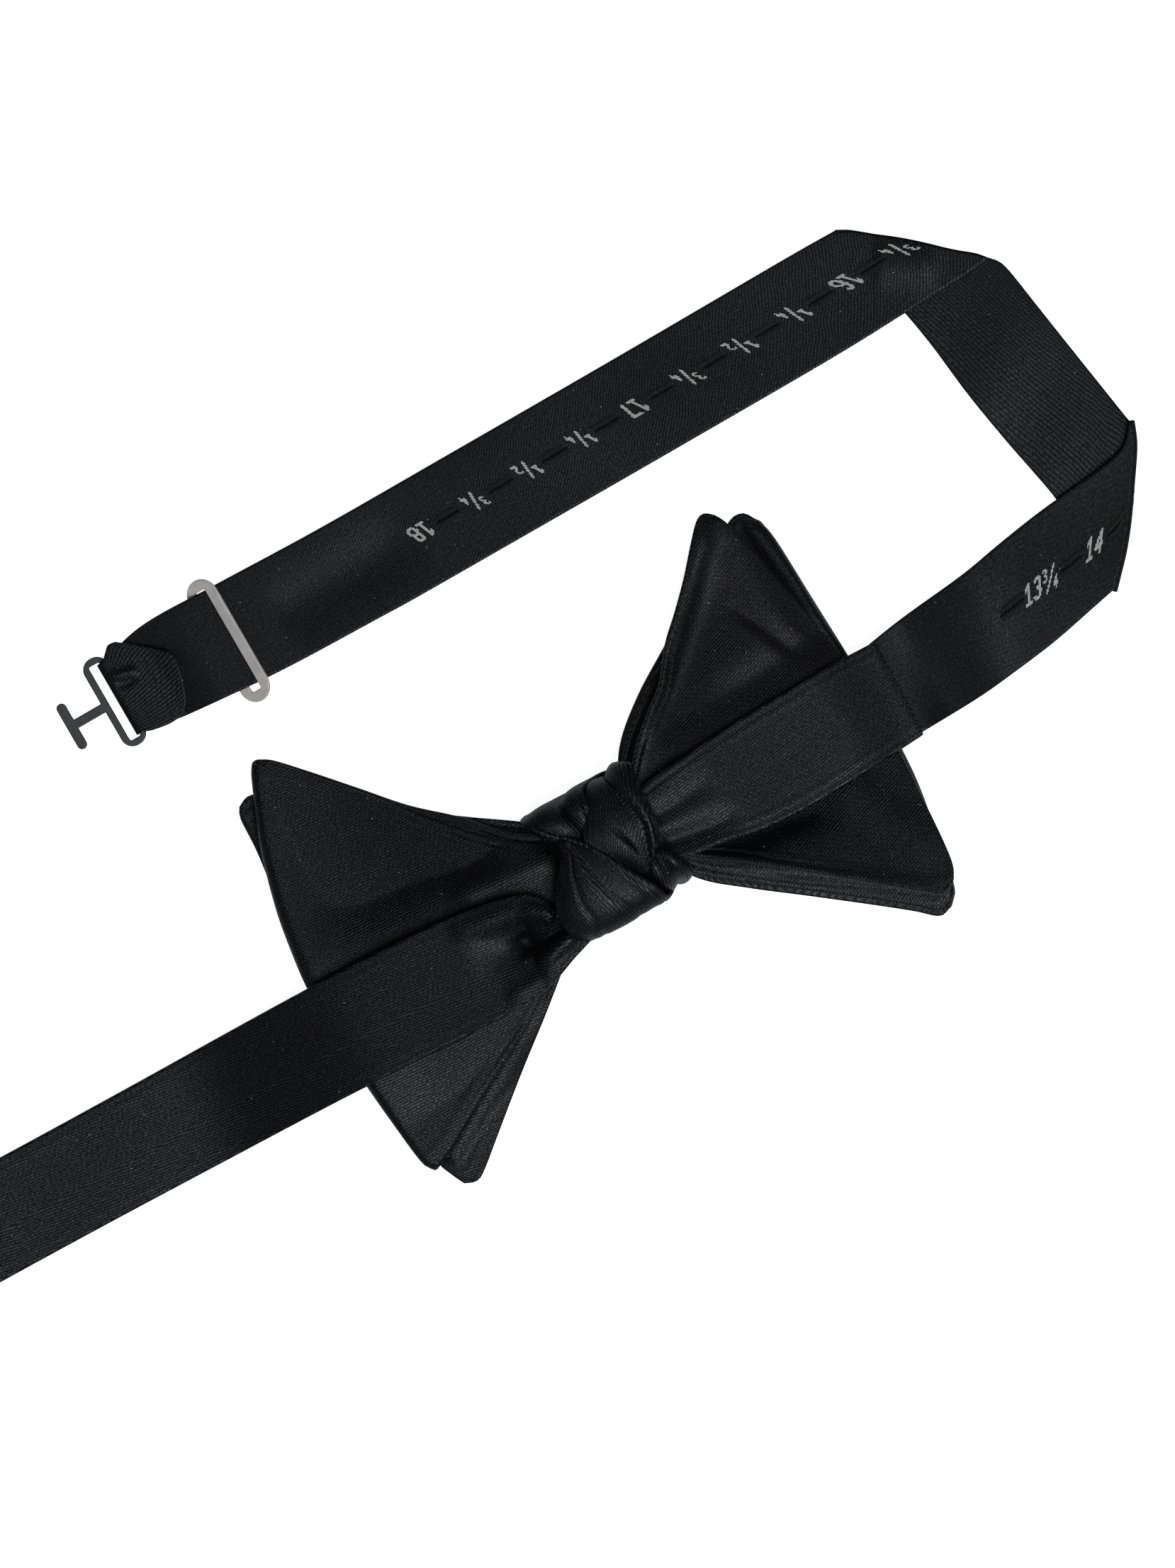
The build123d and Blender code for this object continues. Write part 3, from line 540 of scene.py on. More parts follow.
# The rear strip's blade end: the upper wing on the right, with a sewn edge on all three free sides.
# Soft folds fan out of the knot, and the wing is drawn up where the band lies over it.
rear_blade_plan = patch(
    root=[(7, -7), (7, 0), (7, 5)],
    outer=[(55, -43.8), (56.6, -42.4), (58.1, -38.5), (59.2, -27), (60, -14), (59.8, 6), (58.4, 18),
           (56.4, 28),
           (54.4, 38), (52.7, 44), (51.6, 46.2)],
    low=[(7, -7), (12, -11.2), (20, -16.8), (30, -24.8), (40, -33), (50, -41.3), (53.4, -43.9), (55, -43.8)],
    high=[(7, 5), (11, 9.4), (15, 13.8), (20, 18), (25, 22), (30, 28.3), (35, 33), (40, 38), (45, 43.6),
          (48.2, 46.9), (50, 47.5), (51.6, 46.2)],
    rows=92, columns=96)
reach = np.linspace(0, 1, 92)[:, None]
side = np.linspace(0, 1, 96)[None]
height = 6.9 + 3.6 * (1 - fade(reach / 0.95)) + 0.3 * ripples(rear_blade_plan, 26, 11) * fade(reach / 0.3)
x, y = rear_blade_plan[..., 0], rear_blade_plan[..., 1]
brow = 4.5 + 0.03 * (x - 12)
drop = 2.0 * fade((x - 12) / 14) * fade((62 - x) / 10)
height = height + drop * (1 - fade((y - brow) / 9)) * fade((y + 12) / 6) - 0.02 * np.clip(y - 10, 0, 30)
height = height - 1.5 * fade((x - 51) / 9) * fade((y - 8) / 8)
height = height + 0.19 * np.clip(-12 - y, 0, 40) * fade((x - 10) / 14)
height = height + 0.5 * fade((-24 - y + 0.35 * x) / 8) * fade((x - 14) / 8)
height = height + folds(
    rear_blade_plan, ((20, 14), (45, 33), 4.5, -0.9, 0.2, 0.6), ((17, 16), (49, 45.5), 2.6, 1.5, 0.3, 0.2),
    ((36, 17), (50, 19), 4.5, 0.5, 0.4, 0.4), ((46, 28), (52.5, 13), 1.8, -0.6, 0.4, 0.3),
    ((13, -11), (42, -17), 4.0, -2.0), ((48, -14), (56, -36), 4.0, 0.5), ((12, -10.8), (52, -42.4), 1.3, 0.5))
rear_blade = with_height(rear_blade_plan, height)
rear_blade[..., 2] += seam_relief(rear_blade)
sewn_strip("rear_blade", rear_blade, -19)

# The waist: where the knot pinches all four wings together. It is the same cloth, gathered into pleats
# that run along the bow, and it shows only between the wings from the side.
lo, hi = (np.array(corner) * 1000 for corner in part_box("pinched_waist"))
WAIST_POINTS = 121       # points round each ring, the first one counted again at the end
WAIST_SPARE = 2          # how far the bundle runs on under the wings at each side
turn = np.linspace(0, 2 * np.pi, WAIST_POINTS)
run = np.linspace(lo[0] - WAIST_SPARE, hi[0] + WAIST_SPARE, 30)[:, None]
pleat = 1 + 0.06 * np.sin(13 * turn) + 0.03 * np.sin(29 * turn + 1)
swell = 0.82 + 0.12 * np.cos(np.pi * (run - lo[0] - WAIST_SPARE) / (hi[0] - lo[0]))
round_y, round_z = (np.sign(wave) * np.abs(wave) ** 0.7 for wave in (np.cos(turn), np.sin(turn)))
middle, half = (lo + hi) / 2, (hi - lo) / 2
y = middle[1] + half[1] * swell * pleat * round_y
bundle = 3.1 * fade((run + 12.5) / 3) * (1 - fade((run - 4) / 3))    # higher where the wraps go over it
z = middle[2] + bundle + (half[2] * swell + bundle) * pleat * round_z
waist_mid = np.stack([np.broadcast_to(run, y.shape), y, z], axis=-1)
poles = [ring * [1, 0, 0] + ring.mean(1, keepdims=True) * [0, 1, 1]
         for ring in (waist_mid[:1], waist_mid[-1:])]
waist_mid = np.concatenate([poles[0], waist_mid, poles[1]])
index = np.arange(waist_mid.shape[0] * WAIST_POINTS).reshape(-1, WAIST_POINTS)
quads = np.stack([index[:-1, :-1], index[:-1, 1:], index[1:, 1:], index[1:, :-1]], -1).reshape(-1, 4)
waist_uv = np.stack([waist_mid[..., 0], np.broadcast_to(turn * 8, waist_mid.shape[:2])], axis=-1)
waist = make_piece("pinched_waist_satin", waist_mid.reshape(-1, 3), quads, waist_uv.reshape(-1, 2),
                   satin("satin_waist", 90), "cloth", "black_satin")
joined = bmesh.new()
joined.from_mesh(waist.data)
bmesh.ops.remove_doubles(joined, verts=joined.verts, dist=1e-7)
joined.to_mesh(waist.data)
joined.free()
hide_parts("pinched_waist")

# The knot: one sewn strip goes round the front and both edges of the bow, and three more crossings show
# behind it. Each is double satin with a seamed edge, laid over the last and pulled tight.


def double_seam(half, roll):
    """The section of a sewn strip: one face, a rolled edge with the stitched groove in it, the other."""
    turn = np.radians([0, 30, 55, 75, 90, 105, 125, 150, 180])
    dip = 1 - 0.45 * np.exp(-((turn - np.pi / 2) / 0.22) ** 2)
    return [(roll * np.sin(a) * d, half * np.cos(a)) for a, d in zip(turn, dip)]


def wrap_surface(stations, rows, columns, relief):
    """A strip laid round the knot.

    Each station gives the place (y, z) on the knot's side view and the strip's left and right edges. A
    smooth line goes through the stations, and relief(run, side) lifts the strip along its normal.
    """
    line = smooth_line(stations, rows)
    side = np.linspace(0, 1, columns)[None]
    run = np.linspace(0, 1, rows)[:, None]
    x = line[:, 2:3] * (1 - side) + line[:, 3:4] * side
    y, z = (np.broadcast_to(line[:, column:column + 1], x.shape) for column in (0, 1))
    grid = np.stack([x, y, z], axis=-1)
    return grid + frame_of(grid)[0] * relief(run, side)[..., None]


def bell(t, centre, width):
    """The bell curve: 1 at the centre, and 0.37 a width away from it."""
    return np.exp(-((t - centre) / width) ** 2)


def edge_ridge(grid):
    """The double line along a seamed edge: a narrow groove and a ridge inside it."""
    low = np.linalg.norm(grid[:, :1] - grid, axis=-1)
    high = np.linalg.norm(grid[:, -1:] - grid, axis=-1)
    near = np.minimum(low, high)
    return 0.16 * bell(near, 0.95, 0.28) - 0.12 * bell(near, 0.45, 0.2)


WRAP_HALF, WRAP_ROLL = 0.5, 0.42    # half the thickness of a strip in the knot, and its edge's bulge


def knot_strip(name, stations, rows, columns, relief, angle, replaced):
    """One crossing of the knot: a closed strip with seamed edges that stands for the replaced nodes."""
    grid = wrap_surface(stations, rows, columns, relief)
    grid = grid + frame_of(grid)[0] * edge_ridge(grid)[..., None]
    uv = cloth_coordinates(grid, 1)
    piece = make_piece(name, *shell(grid, double_seam(WRAP_HALF, WRAP_ROLL), uv),
                       satin("satin_" + name, angle),
                       "cloth", "black_satin")
    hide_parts(*replaced)


def main_relief(run, side):
    """Pleats down the front, two soft folds over the top, creases and a rolled-down left edge behind.

    This strip's normal points into the knot, so the sum of the folds is taken negative."""
    front = bell(run, 0.42, 0.13)
    top = bell(run, 0.12, 0.08)
    back = fade((run - 0.66) / 0.08)
    lift = 0.45 * front * np.sin(2 * np.pi * (2.4 * side + 0.1))
    lift = lift + top * (0.9 * bell(side, 0.3, 0.22) + 0.9 * bell(side, 0.82, 0.16)
                         - 0.9 * bell(side, 0.6, 0.07))
    lift = lift - back * 3.0 * np.clip(1 - side / 0.3, 0, 1) ** 2
    lift = lift + back * (0.5 * bell(side, 0.55, 0.25) - 0.35 * bell(side, 0.3 + 0.3 * (run - 0.8), 0.035))
    lift = lift + back * (0.35 * bell(side, 0.93, 0.06) - 0.25 * bell(side, 0.62 - 0.6 * (run - 0.8), 0.04))
    return -lift


main_wrap = [(1.6, 17.4, -6.0, -3.6), (5, 19.2, -9.6, -1.6), (8.4, 19.3, -12.4, -0.8),
             (10.8, 17.4, -13.9, -0.2),
             (11.7, 13, -13.8, 2.5), (11.6, 8, -12.4, 6.5), (10.2, 3.6, -11, 8.2), (7.2, 1.6, -10.3, 7.6),
             (2, 1.25, -9.6, 6.9), (-4, 1.25, -9.4, 6.8), (-10, 1.5, -10.2, 7.4), (-13.4, 3.6, -11.5, 7.8),
             (-15.2, 8, -13.6, 6.5), (-16.4, 13, -15.8, 4.8), (-16.2, 17.2, -16.6, 3.8),
             (-13.5, 19.8, -16.8, 3.0),
             (-8.5, 20.8, -16.8, 0.2), (-3, 20.8, -14, -2.4), (1, 20.3, -10.8, -4.8), (4.6, 19.6, -9.6, -8.0)]
knot_strip("main_wrap_satin", main_wrap, 200, 44, main_relief, 12,
           ["upper_wrap", "front_centre_wrap", "lower_wrap"])


def centre_relief(run, side):
    """Crowned across the strip, with one short slanted crease."""
    crease = bell(side, 0.5 + 0.5 * (run - 0.6), 0.05) * bell(run, 0.72, 0.12)
    return 1.0 * (1 - (2 * side - 1) ** 2) - 1.1 - 0.5 * crease


centre_wrap = [(11.3, 8, 0, 6), (11.6, 13, -0.5, 5.2), (10.8, 17, -0.8, 5.2), (8.5, 19.6, -1.4, 5.9),
               (5, 20.9, -3, 6.9), (2, 21.4, -4.6, 7.6), (-1, 21.4, -4.2, 7.8), (-4, 20.8, -2.6, 7.0),
               (-7, 19.6, -0.4, 5.9), (-10, 18, 1.6, 4.8)]
knot_strip("centre_wrap_satin", centre_wrap, 80, 40, centre_relief, 35, ["centre_wrap"])


def collar_relief(run, side):
    """One full roll across the strip that falls away at both edges."""
    roll = 0.9 * np.sin(np.pi * np.clip(side * 1.15, 0, 1)) + 0.1 * bell(side, 0.5, 0.1)
    return roll - 1.7 * (1 - side) ** 2 - 0.9 * side ** 4


collar_wrap = [(11.0, 8, 4.6, 8.6), (11.9, 13, 5.0, 10.4), (11.4, 17.2, 5.2, 11.0), (8.5, 19.8, 5.6, 10.6),
               (5, 20.9, 6.4, 10.3), (1.5, 21.1, 6.9, 10), (-1.5, 20.8, 6.9, 9.8), (-4.5, 20, 6.0, 8.9),
               (-7, 18.9, 4.8, 7.2), (-9.3, 17.2, 3.0, 5.0)]
knot_strip("collar_wrap_satin", collar_wrap, 80, 30, collar_relief, 15, ["collar_wrap"])


def corner_relief(run, side):
    """Small pleats along the strip, and both edges turned down."""
    return 0.45 * np.sin(2 * np.pi * (1.7 * side - 0.15)) * fade(run / 0.2) - 0.8 * (2 * side - 1) ** 4


corner_wrap = [(-6.6, 17.6, 4.4, 7.0), (-9, 18.4, 3.6, 9.2), (-11.5, 18, 3.0, 10.4), (-13.7, 16.2, 3.4, 11.1),
               (-15, 13, 4.2, 11.0), (-15.2, 9, 4.0, 9.5), (-14.2, 5, 3.0, 8.2)]
knot_strip("corner_wrap_satin", corner_wrap, 60, 30, corner_relief, 5, ["corner_wrap"])

# The plain half of the neckband: a straight sewn band that leaves the knot in a curled pleat, lies over
# the left wings, runs down to the table and turns round the bar of the end ring, where it is stitched.


def plan_between(low_edge, high_edge, rows, columns):
    """A plan of straight rows from one edge's curve to the other's."""
    low, high = smooth_line(low_edge, rows), smooth_line(high_edge, rows)
    side = np.linspace(0, 1, columns)[None, :, None]
    return low[:, None] * (1 - side) + high[:, None] * side


end_lo, end_hi = (np.array(corner) * 1000 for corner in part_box("end_ring"))
band_end_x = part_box("plain_band_back_panel")[0][0] * 1000
ring_bar_x = end_hi[0] - 1.07              # the middle of the bar that the band turns round
ring_y, ring_z = (end_lo[1] + end_hi[1]) / 2, 2.52
turn_r = 1.87
low_edge = [(-14.5, -16.2), (-19, -17.6), (-24, -19.4), (-30, -20.6), (-40, -20.6), (-55, -19.8),
            (-75, -18.8),
            (-100, -18), (-130, -17), (-160, ring_y - 11.1), (ring_bar_x, ring_y - 11)]
high_edge = [(-14.5, -8.6), (-17.4, -7.6), (-19.2, -3.4), (-24, -0.9), (-32, 0.8), (-42, 2.1),
             (-60, 3.2), (-80, 3.8),
             (-110, 4.3), (-140, 5), (-165, ring_y + 11.1), (ring_bar_x, ring_y + 11)]
rows, columns = 190, 40
band_plan = plan_between(low_edge, high_edge, rows, columns)
x = band_plan[..., 0]
path_x = [ring_bar_x, -120, -106, -98, -88, -78, -68, -56, -44, -30, -20, -14]
path_z = [STRIP_HALF, STRIP_HALF, STRIP_HALF + 0.05, 1.2, 3.9, 7.4, 10.2, 11.3, 12.1, 13.3, 14.7, 15.3]
height = np.interp(x, path_x, path_z)
SMOOTHED_ROWS = 25
kernel = np.hanning(SMOOTHED_ROWS) / np.hanning(SMOOTHED_ROWS).sum()
padded_height = np.pad(height, ((SMOOTHED_ROWS // 2,) * 2, (0, 0)), mode="edge")
height = sum(weight * padded_height[n:n + rows] for n, weight in enumerate(kernel))
height = height + 0.06 * (band_plan[..., 1] + 18) * fade((-85 - x) / 25) * fade((x - ring_bar_x) / 25)
height = height + 0.3 * ripples(band_plan, 42, 15) * fade((-24 - x) / 20) * fade((x - band_end_x - 20) / 30)
height = height + folds(      # the pocket beside the knot, then its rims
    band_plan, ((-33, -9), (-24, -11.4), 5.2, -2.0, 0.7, 0.1),
    ((-25.8, -8.2), (-25.4, -12.6), 2.5, -2.0, 0.2, 0.2),
    ((-26, -11.6), (-17, -11.4), 1.5, -1.7, 0.3, 0.1), ((-36, -1.6), (-23, -4.2), 2.2, 1.2, 0.5, 0.1),
    ((-23, -4.2), (-18.2, -8.0), 1.6, 1.7, 0.1, 0.1), ((-25, -15.6), (-17, -13.6), 1.3, 1.6, 0.3, 0.1),
    ((-34, -18.6), (-20, -17.4), 1.6, 0.5))
band = with_height(band_plan, height)
turn = np.linspace(-np.pi / 2, -3 * np.pi / 2, 15)[1:, None, None]
last = band[-1:, :]
around = last * [0, 1, 0] + np.concatenate(
    [ring_bar_x + turn_r * np.cos(turn), 0 * turn, ring_z + turn_r * np.sin(turn)], -1)
FLAP_LENGTH = 12
flap_run = np.linspace(0, FLAP_LENGTH, 14)[1:, None, None]
flap = last * [0, 1, 0] + np.concatenate(
    [ring_bar_x + flap_run, 0 * flap_run, ring_z + turn_r + 0 * flap_run], -1)
flap[..., 2] -= 0.35 * fade((flap_run[..., 0] - 7) / 2)
plain_band = np.concatenate([band, around, flap])
plain_band[..., 2] += seam_relief(plain_band, 0.3)
sewn_strip("plain_band", plain_band, -9)

# The short half of the neckband: the same sewn band, gathered under the knot in small pleats and cut off
# square just past the right wings, where the size tape is sewn on.
rows, columns = 96, 44
low_edge = [(7.5, -8.6), (10, -10.4), (14, -11.4), (20, -12.2), (28, -14), (38, -14.7), (50, -14.5),
            (66.2, -13.7)]
high_edge = [(7.5, 4.2), (10.5, 5), (15, 5.7), (22, 6.3), (32, 7), (45, 7.3), (56, 7.4), (66.9, 7)]
short_plan = plan_between(low_edge, high_edge, rows, columns)
side = np.linspace(0, 1, columns)[None]
x = short_plan[..., 0]
height = 10.7 + 4.3 * (1 - fade((x - 5) / 48)) - 2.4 * fade((x - 50) / 17)
pleats = (1 - fade((x - 7) / 15)) * 0.32 * np.sin(2 * np.pi * (2.6 * side + 0.02 * x))
height = height + pleats * (0.6 + 0.4 * ripples(short_plan, 12, 31))
height = height + 0.16 * ripples(short_plan, 30, 19) * fade((x - 20) / 20)
height = height + folds(short_plan, ((9, -6.5), (23, -9.5), 2.6, -1.1, 0.1, 0.7),
                        ((10, -1), (22, -0.4), 2.2, -0.5, 0.1, 0.7))
short_band = with_height(short_plan, height)
short_band[..., 2] += seam_relief(short_band, 0.5)
sewn_strip("short_band", short_band, -7)

# The size tape: one woven tape with a buttonhole and a number for every quarter inch of collar. It is
# sewn to the short band, folds under itself, folds back on top, and ends turned round the hook's bar.
TAPE_HALF = 0.25
TAPE_TOP = 2.196         # height of the middle of its upper layers
TAPE_LOW = TAPE_HALF + 0.02
TAPE_WIDE = 22.4
SEAM_TUCK = 1.4          # how far it goes in under the short band's end
FIRST_ROWS, MIDDLE_ROWS, LONG_ROWS, CREASE_ROWS = 112, 96, 300, 8
seam_x, band_end_z = short_band[-1, :, 0].mean(), short_band[-1, :, 2].mean()
hook_lo, hook_hi = (np.array(corner) * 1000 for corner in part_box("t_hook"))
tape_columns = 46
middle = tape_columns // 2
lower_crease = [(115.4, -7.9), (118, -5.2), (121.4, -1.6), (125.4, 3.4), (130, 10), (134, 16), (136, 20.6)]
upper_crease = [(103, 85), (106, 83.2), (110, 80), (115, 76), (122, 69.6), (125.6, 66.6), (127.2, 64.8)]
seam_z = band_end_z - 1.0
tuck_x = seam_x - SEAM_TUCK
first_plan = patch(
    root=[(tuck_x - 0.3, -13.5), (tuck_x, -3), (tuck_x + 0.4, 7.4)],
    outer=lower_crease,
    low=[(tuck_x - 0.3, -13.5), (80, -13.2), (90, -12.3), (100, -11), (110, -9), (115.4, -7.9)],
    high=[(tuck_x + 0.4, 7.4), (75, 8.8), (90, 10.3), (100, 12), (110, 13.5), (120, 14.5),
          (128, 15.4), (132.6, 16.9),
          (136, 20.6)],
    rows=FIRST_ROWS, columns=tape_columns)
x = first_plan[..., 0]
slope = fade((x - seam_x) / 26)
first_z = seam_z * (1 - slope) + TAPE_TOP * slope
first_z = first_z + 0.5 * ripples(first_plan, 34, 21) * fade((x - 90) / 14) ** 2
first_z = first_z + 0.1 * (first_plan[..., 1] + 2) * fade((x - seam_x) / 8) * fade((100 - x) / 16)
first_z = np.maximum(first_z, TAPE_TOP - 0.9 * slope)
middle_plan = patch(
    root=lower_crease, outer=upper_crease,
    low=[(115.4, -7.9), (115.3, 4), (115, 14), (112, 30), (110, 42), (108.5, 55), (106.6, 66), (103, 85)],
    high=[(136, 20.6), (135, 27), (133, 40), (131.5, 50), (130, 60), (128.9, 63), (127.2, 64.8)],
    rows=MIDDLE_ROWS, columns=tape_columns)
swell = np.sin(np.pi * np.linspace(0, 1, MIDDLE_ROWS))[:, None] ** 2
middle_z = TAPE_LOW + 0.35 * (1 + ripples(middle_plan, 30, 22)) * swell
bar_x, bar_z, bar_turn = hook_hi[0] - 0.775, 1.4746, 1.2246
hook_y = (hook_lo[1] + hook_hi[1]) / 2
long_plan = patch(
    root=upper_crease,
    outer=[(bar_x, hook_y + 8.2), (bar_x, hook_y), (bar_x, hook_y - 8.2)],
    low=[(103, 85), (90, 85.1), (50, 84.9), (10, 84.9), (-20, 85), (-45, 85.7), (-62, 86),
         (bar_x, hook_y + 8.2)],
    high=[(127.2, 64.8), (125, 64), (107, 63.2), (80, 62.6), (0, 62.7), (-20, 63), (-42, 63.7), (-62, 65.4),
          (bar_x, hook_y - 8.2)],
    rows=LONG_ROWS, columns=tape_columns)
x = long_plan[..., 0]
dip = fade((-54 - x) / 11)
long_z = TAPE_TOP * (1 - dip) + TAPE_LOW * dip
long_z = long_z + 0.7 * ripples(long_plan, 42, 23) * fade((x + 44) / 14) * fade((118 - x) / 16)
long_z = long_z + folds(long_plan, ((-36, 73), (-6, 74), 6.0, -0.8), ((107, 75), (117, 69), 4.5, 0.6))
creases = []
for end_plan, end_z, next_plan, next_z in ((first_plan, first_z, middle_plan, middle_z),
                                           (middle_plan, middle_z, long_plan, long_z)):
    top, bottom = with_height(end_plan, end_z)[-1], with_height(next_plan, next_z)[0]
    line = np.gradient(end_plan[-1], axis=0)
    out = np.stack([line[:, 1], -line[:, 0], 0 * line[:, 0]], axis=-1)
    out /= np.linalg.norm(out, axis=-1, keepdims=True)
    angle = np.linspace(0, np.pi, CREASE_ROWS + 2)[1:-1, None, None]
    creases.append((top + bottom) / 2 + (top - bottom) / 2 * np.cos(angle) + 0.9 * out * np.sin(angle))
under = with_height(long_plan, long_z)[-1:]
angle = np.linspace(0, np.pi, 12)[1:, None]
turn_x, turn_z = bar_x - bar_turn * np.sin(angle), bar_z - bar_turn * np.cos(angle)
turned = np.stack([turn_x + 0 * under[..., 1], under[..., 1] + 0 * turn_x,
                   turn_z + 0 * under[..., 1]], axis=-1)
flap_plan = patch(
    root=[(bar_x, hook_y + 8.2), (bar_x, hook_y), (bar_x, hook_y - 8.2)],
    outer=[(-68.4, 85.8), (-65.4, 83.4), (-61, 79.6), (-59.3, 77.2), (-60.2, 72), (-61.8, 68), (-64, 65.9)],
    low=[(bar_x, hook_y + 8.2), (bar_x + 1.4, 84.8), (-70, 85.9), (-68.4, 85.8)],
    high=[(bar_x, hook_y - 8.2), (bar_x + 2, 66.3), (-67, 65.7), (-64, 65.9)],
    rows=30, columns=tape_columns)
flap_z = bar_z + bar_turn + folds(flap_plan, ((bar_x, 80), (bar_x + 5, 78.6), 0.9, 0.5),
                                  ((bar_x, 77.6), (bar_x + 4, 77), 0.7, -0.35))
flap_z = flap_z + 0.5 * fade((flap_plan[..., 0] + 64) / 5)
flap = with_height(flap_plan, flap_z)
share = np.arange(1, 4)[:, None] / 4       # the first rows come up gradually from the bar
flap[1:4, :, 2] = flap[0, :, 2] * (1 - share) + flap[1:4, :, 2] * share
tape = np.concatenate([with_height(first_plan, first_z), creases[0], with_height(middle_plan, middle_z),
                       creases[1], with_height(long_plan, long_z), turned, flap[1:]])
first_rows = (0, FIRST_ROWS)
middle_rows = (FIRST_ROWS + CREASE_ROWS, FIRST_ROWS + CREASE_ROWS + MIDDLE_ROWS)
long_rows = (middle_rows[1] + CREASE_ROWS, middle_rows[1] + CREASE_ROWS + LONG_ROWS)
run = np.r_[0, np.cumsum(np.linalg.norm(np.diff(tape.mean(axis=1), axis=0), axis=1))]


def row_at(place, rows, axis):
    """The tape's row, with its fraction, where its middle line reaches a place along x or y."""
    line = tape[rows[0]:rows[1], middle, axis]
    order = np.argsort(line)
    return rows[0] + np.interp(place, line[order], order.astype(float))


SLOT_HALF = 2.95         # half the length of a buttonhole
SLOT_STEP = 12.75        # from one buttonhole to the next
SLOT_DEPTH = 0.12
first_slots = [row_at(seam_x + offset, first_rows, 0) for offset in (29.2, 44.4, 56.6)]
hidden_slots = [row_at(-2 + SLOT_STEP * n, middle_rows, 1) for n in range(1, 6)]
long_slots = [row_at(106.3 - SLOT_STEP * n, long_rows, 0) for n in range(9)]
slot_rows = np.array([*first_slots, *hidden_slots, *long_slots])
slot_run = np.interp(slot_rows, np.arange(len(run)), run)
along_slot = (run[:, None] - slot_run) / SLOT_HALF
nearest = np.abs(along_slot).argmin(axis=1)
within = along_slot[np.arange(len(run)), nearest]
lens = np.clip(1 - within ** 2, 0, None)
CLOSED_HALF = 0.25       # half the space between the two middle columns where there is no slot
half_gap = np.where(np.abs(within) < 1, 0.04 + 0.17 * lens, CLOSED_HALF)[:, None]
centre = (tape[:, middle - 1] + tape[:, middle]) / 2
across = tape[:, middle] - tape[:, middle - 1]
across /= np.linalg.norm(across, axis=-1, keepdims=True)
tape[:, middle - 1], tape[:, middle] = centre - across * half_gap, centre + across * half_gap
open_rows = (np.abs(within[:-1]) < 1) & (np.abs(within[1:]) < 1)
tape_normal, _, _ = frame_of(tape)


def slit(points, faces, uv, mid, open_rows, column, depth):
    """Sinks the faces between two columns of the top, where the rows are open, into grooves with walls."""
    rows, columns = mid.shape[:2]
    index = np.arange(rows * columns).reshape(rows, columns)
    gone = np.zeros((rows - 1, columns - 1), bool)
    gone[open_rows, column] = True
    keep = np.ones(len(faces), bool)
    keep[:gone.size] = ~gone.ravel()
    used = np.r_[open_rows, False] | np.r_[False, open_rows]
    sunk = np.zeros((rows, 2), int)
    sunk[used] = len(points) + np.arange(2 * used.sum()).reshape(-1, 2)
    pair = mid[used][:, column:column + 2] - frame_of(mid)[0][used][:, column:column + 2] * depth
    rim = index[:, column:column + 2]
    a, b, d, c = rim[:-1, 0], rim[1:, 0], rim[:-1, 1], rim[1:, 1]
    sa, sb, sd, sc = sunk[:-1, 0], sunk[1:, 0], sunk[:-1, 1], sunk[1:, 1]
    starts = open_rows & ~np.r_[False, open_rows[:-1]]
    ends = open_rows & ~np.r_[open_rows[1:], False]
    made = [np.stack(sides, 1)[which] for sides, which in (
        ((a, b, sb, sa), open_rows), ((c, d, sd, sc), open_rows), ((sa, sb, sc, sd), open_rows),
        ((d, a, sa, sd), starts), ((b, c, sc, sb), ends))]
    flat = uv[:rows * columns].reshape(rows, columns, 2)[used][:, column:column + 2].reshape(-1, 2)
    return (np.concatenate([points, pair.reshape(-1, 3)]), np.concatenate([faces[keep], *made]),
            np.concatenate([uv, flat]))


tape_edge = [(0, TAPE_HALF), (0.09, 0.17), (0.12, 0), (0.09, -0.17), (0, -TAPE_HALF)]
tape_uv = np.stack([np.broadcast_to(run[:, None], tape.shape[:2]), np.broadcast_to(
    np.linspace(-TAPE_WIDE / 2, TAPE_WIDE / 2, tape_columns), tape.shape[:2])], axis=-1)
points, faces, place = shell(tape, tape_edge, tape_uv)
points, faces, place = slit(points, faces, place, tape, open_rows, middle - 1, SLOT_DEPTH)
# The tape runs from TAPE_DARK, in painted shade between floats, to TAPE_LIGHT on tops and painted glints.
TAPE_DARK, TAPE_LIGHT, TAPE_ROUGH = (0.0004, 0.0004, 0.0005), (0.0048, 0.005, 0.0062), 0.45
tape_cloth = woven_material("woven_size_tape", -33, 0.42, TAPE_DARK, TAPE_LIGHT, TAPE_ROUGH, 1.0, 0.66)
tape_reverse = woven_material("woven_size_tape_reverse", 10, 0.8, TAPE_DARK, TAPE_LIGHT, TAPE_ROUGH, 0.7, 0.5)
tape_piece = make_piece("sized_tape_woven", points, faces, place, tape_cloth, "cloth", "woven_tape")
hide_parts("sized_tape")
tape_piece.data.materials.append(tape_reverse)
side_faces = (tape.shape[0] - 1) * (tape.shape[1] - 1)
front_faces = side_faces - open_rows.sum()
which = np.zeros(len(tape_piece.data.polygons), np.int32)
which[front_faces:front_faces + side_faces] = 1
tape_piece.data.polygons.foreach_set("material_index", which)

# The buttonholes' overcast edges: fine slanted stitches, side by side like a feather's barbs, sewn over
# the edge of each slit in the tape's own black thread.


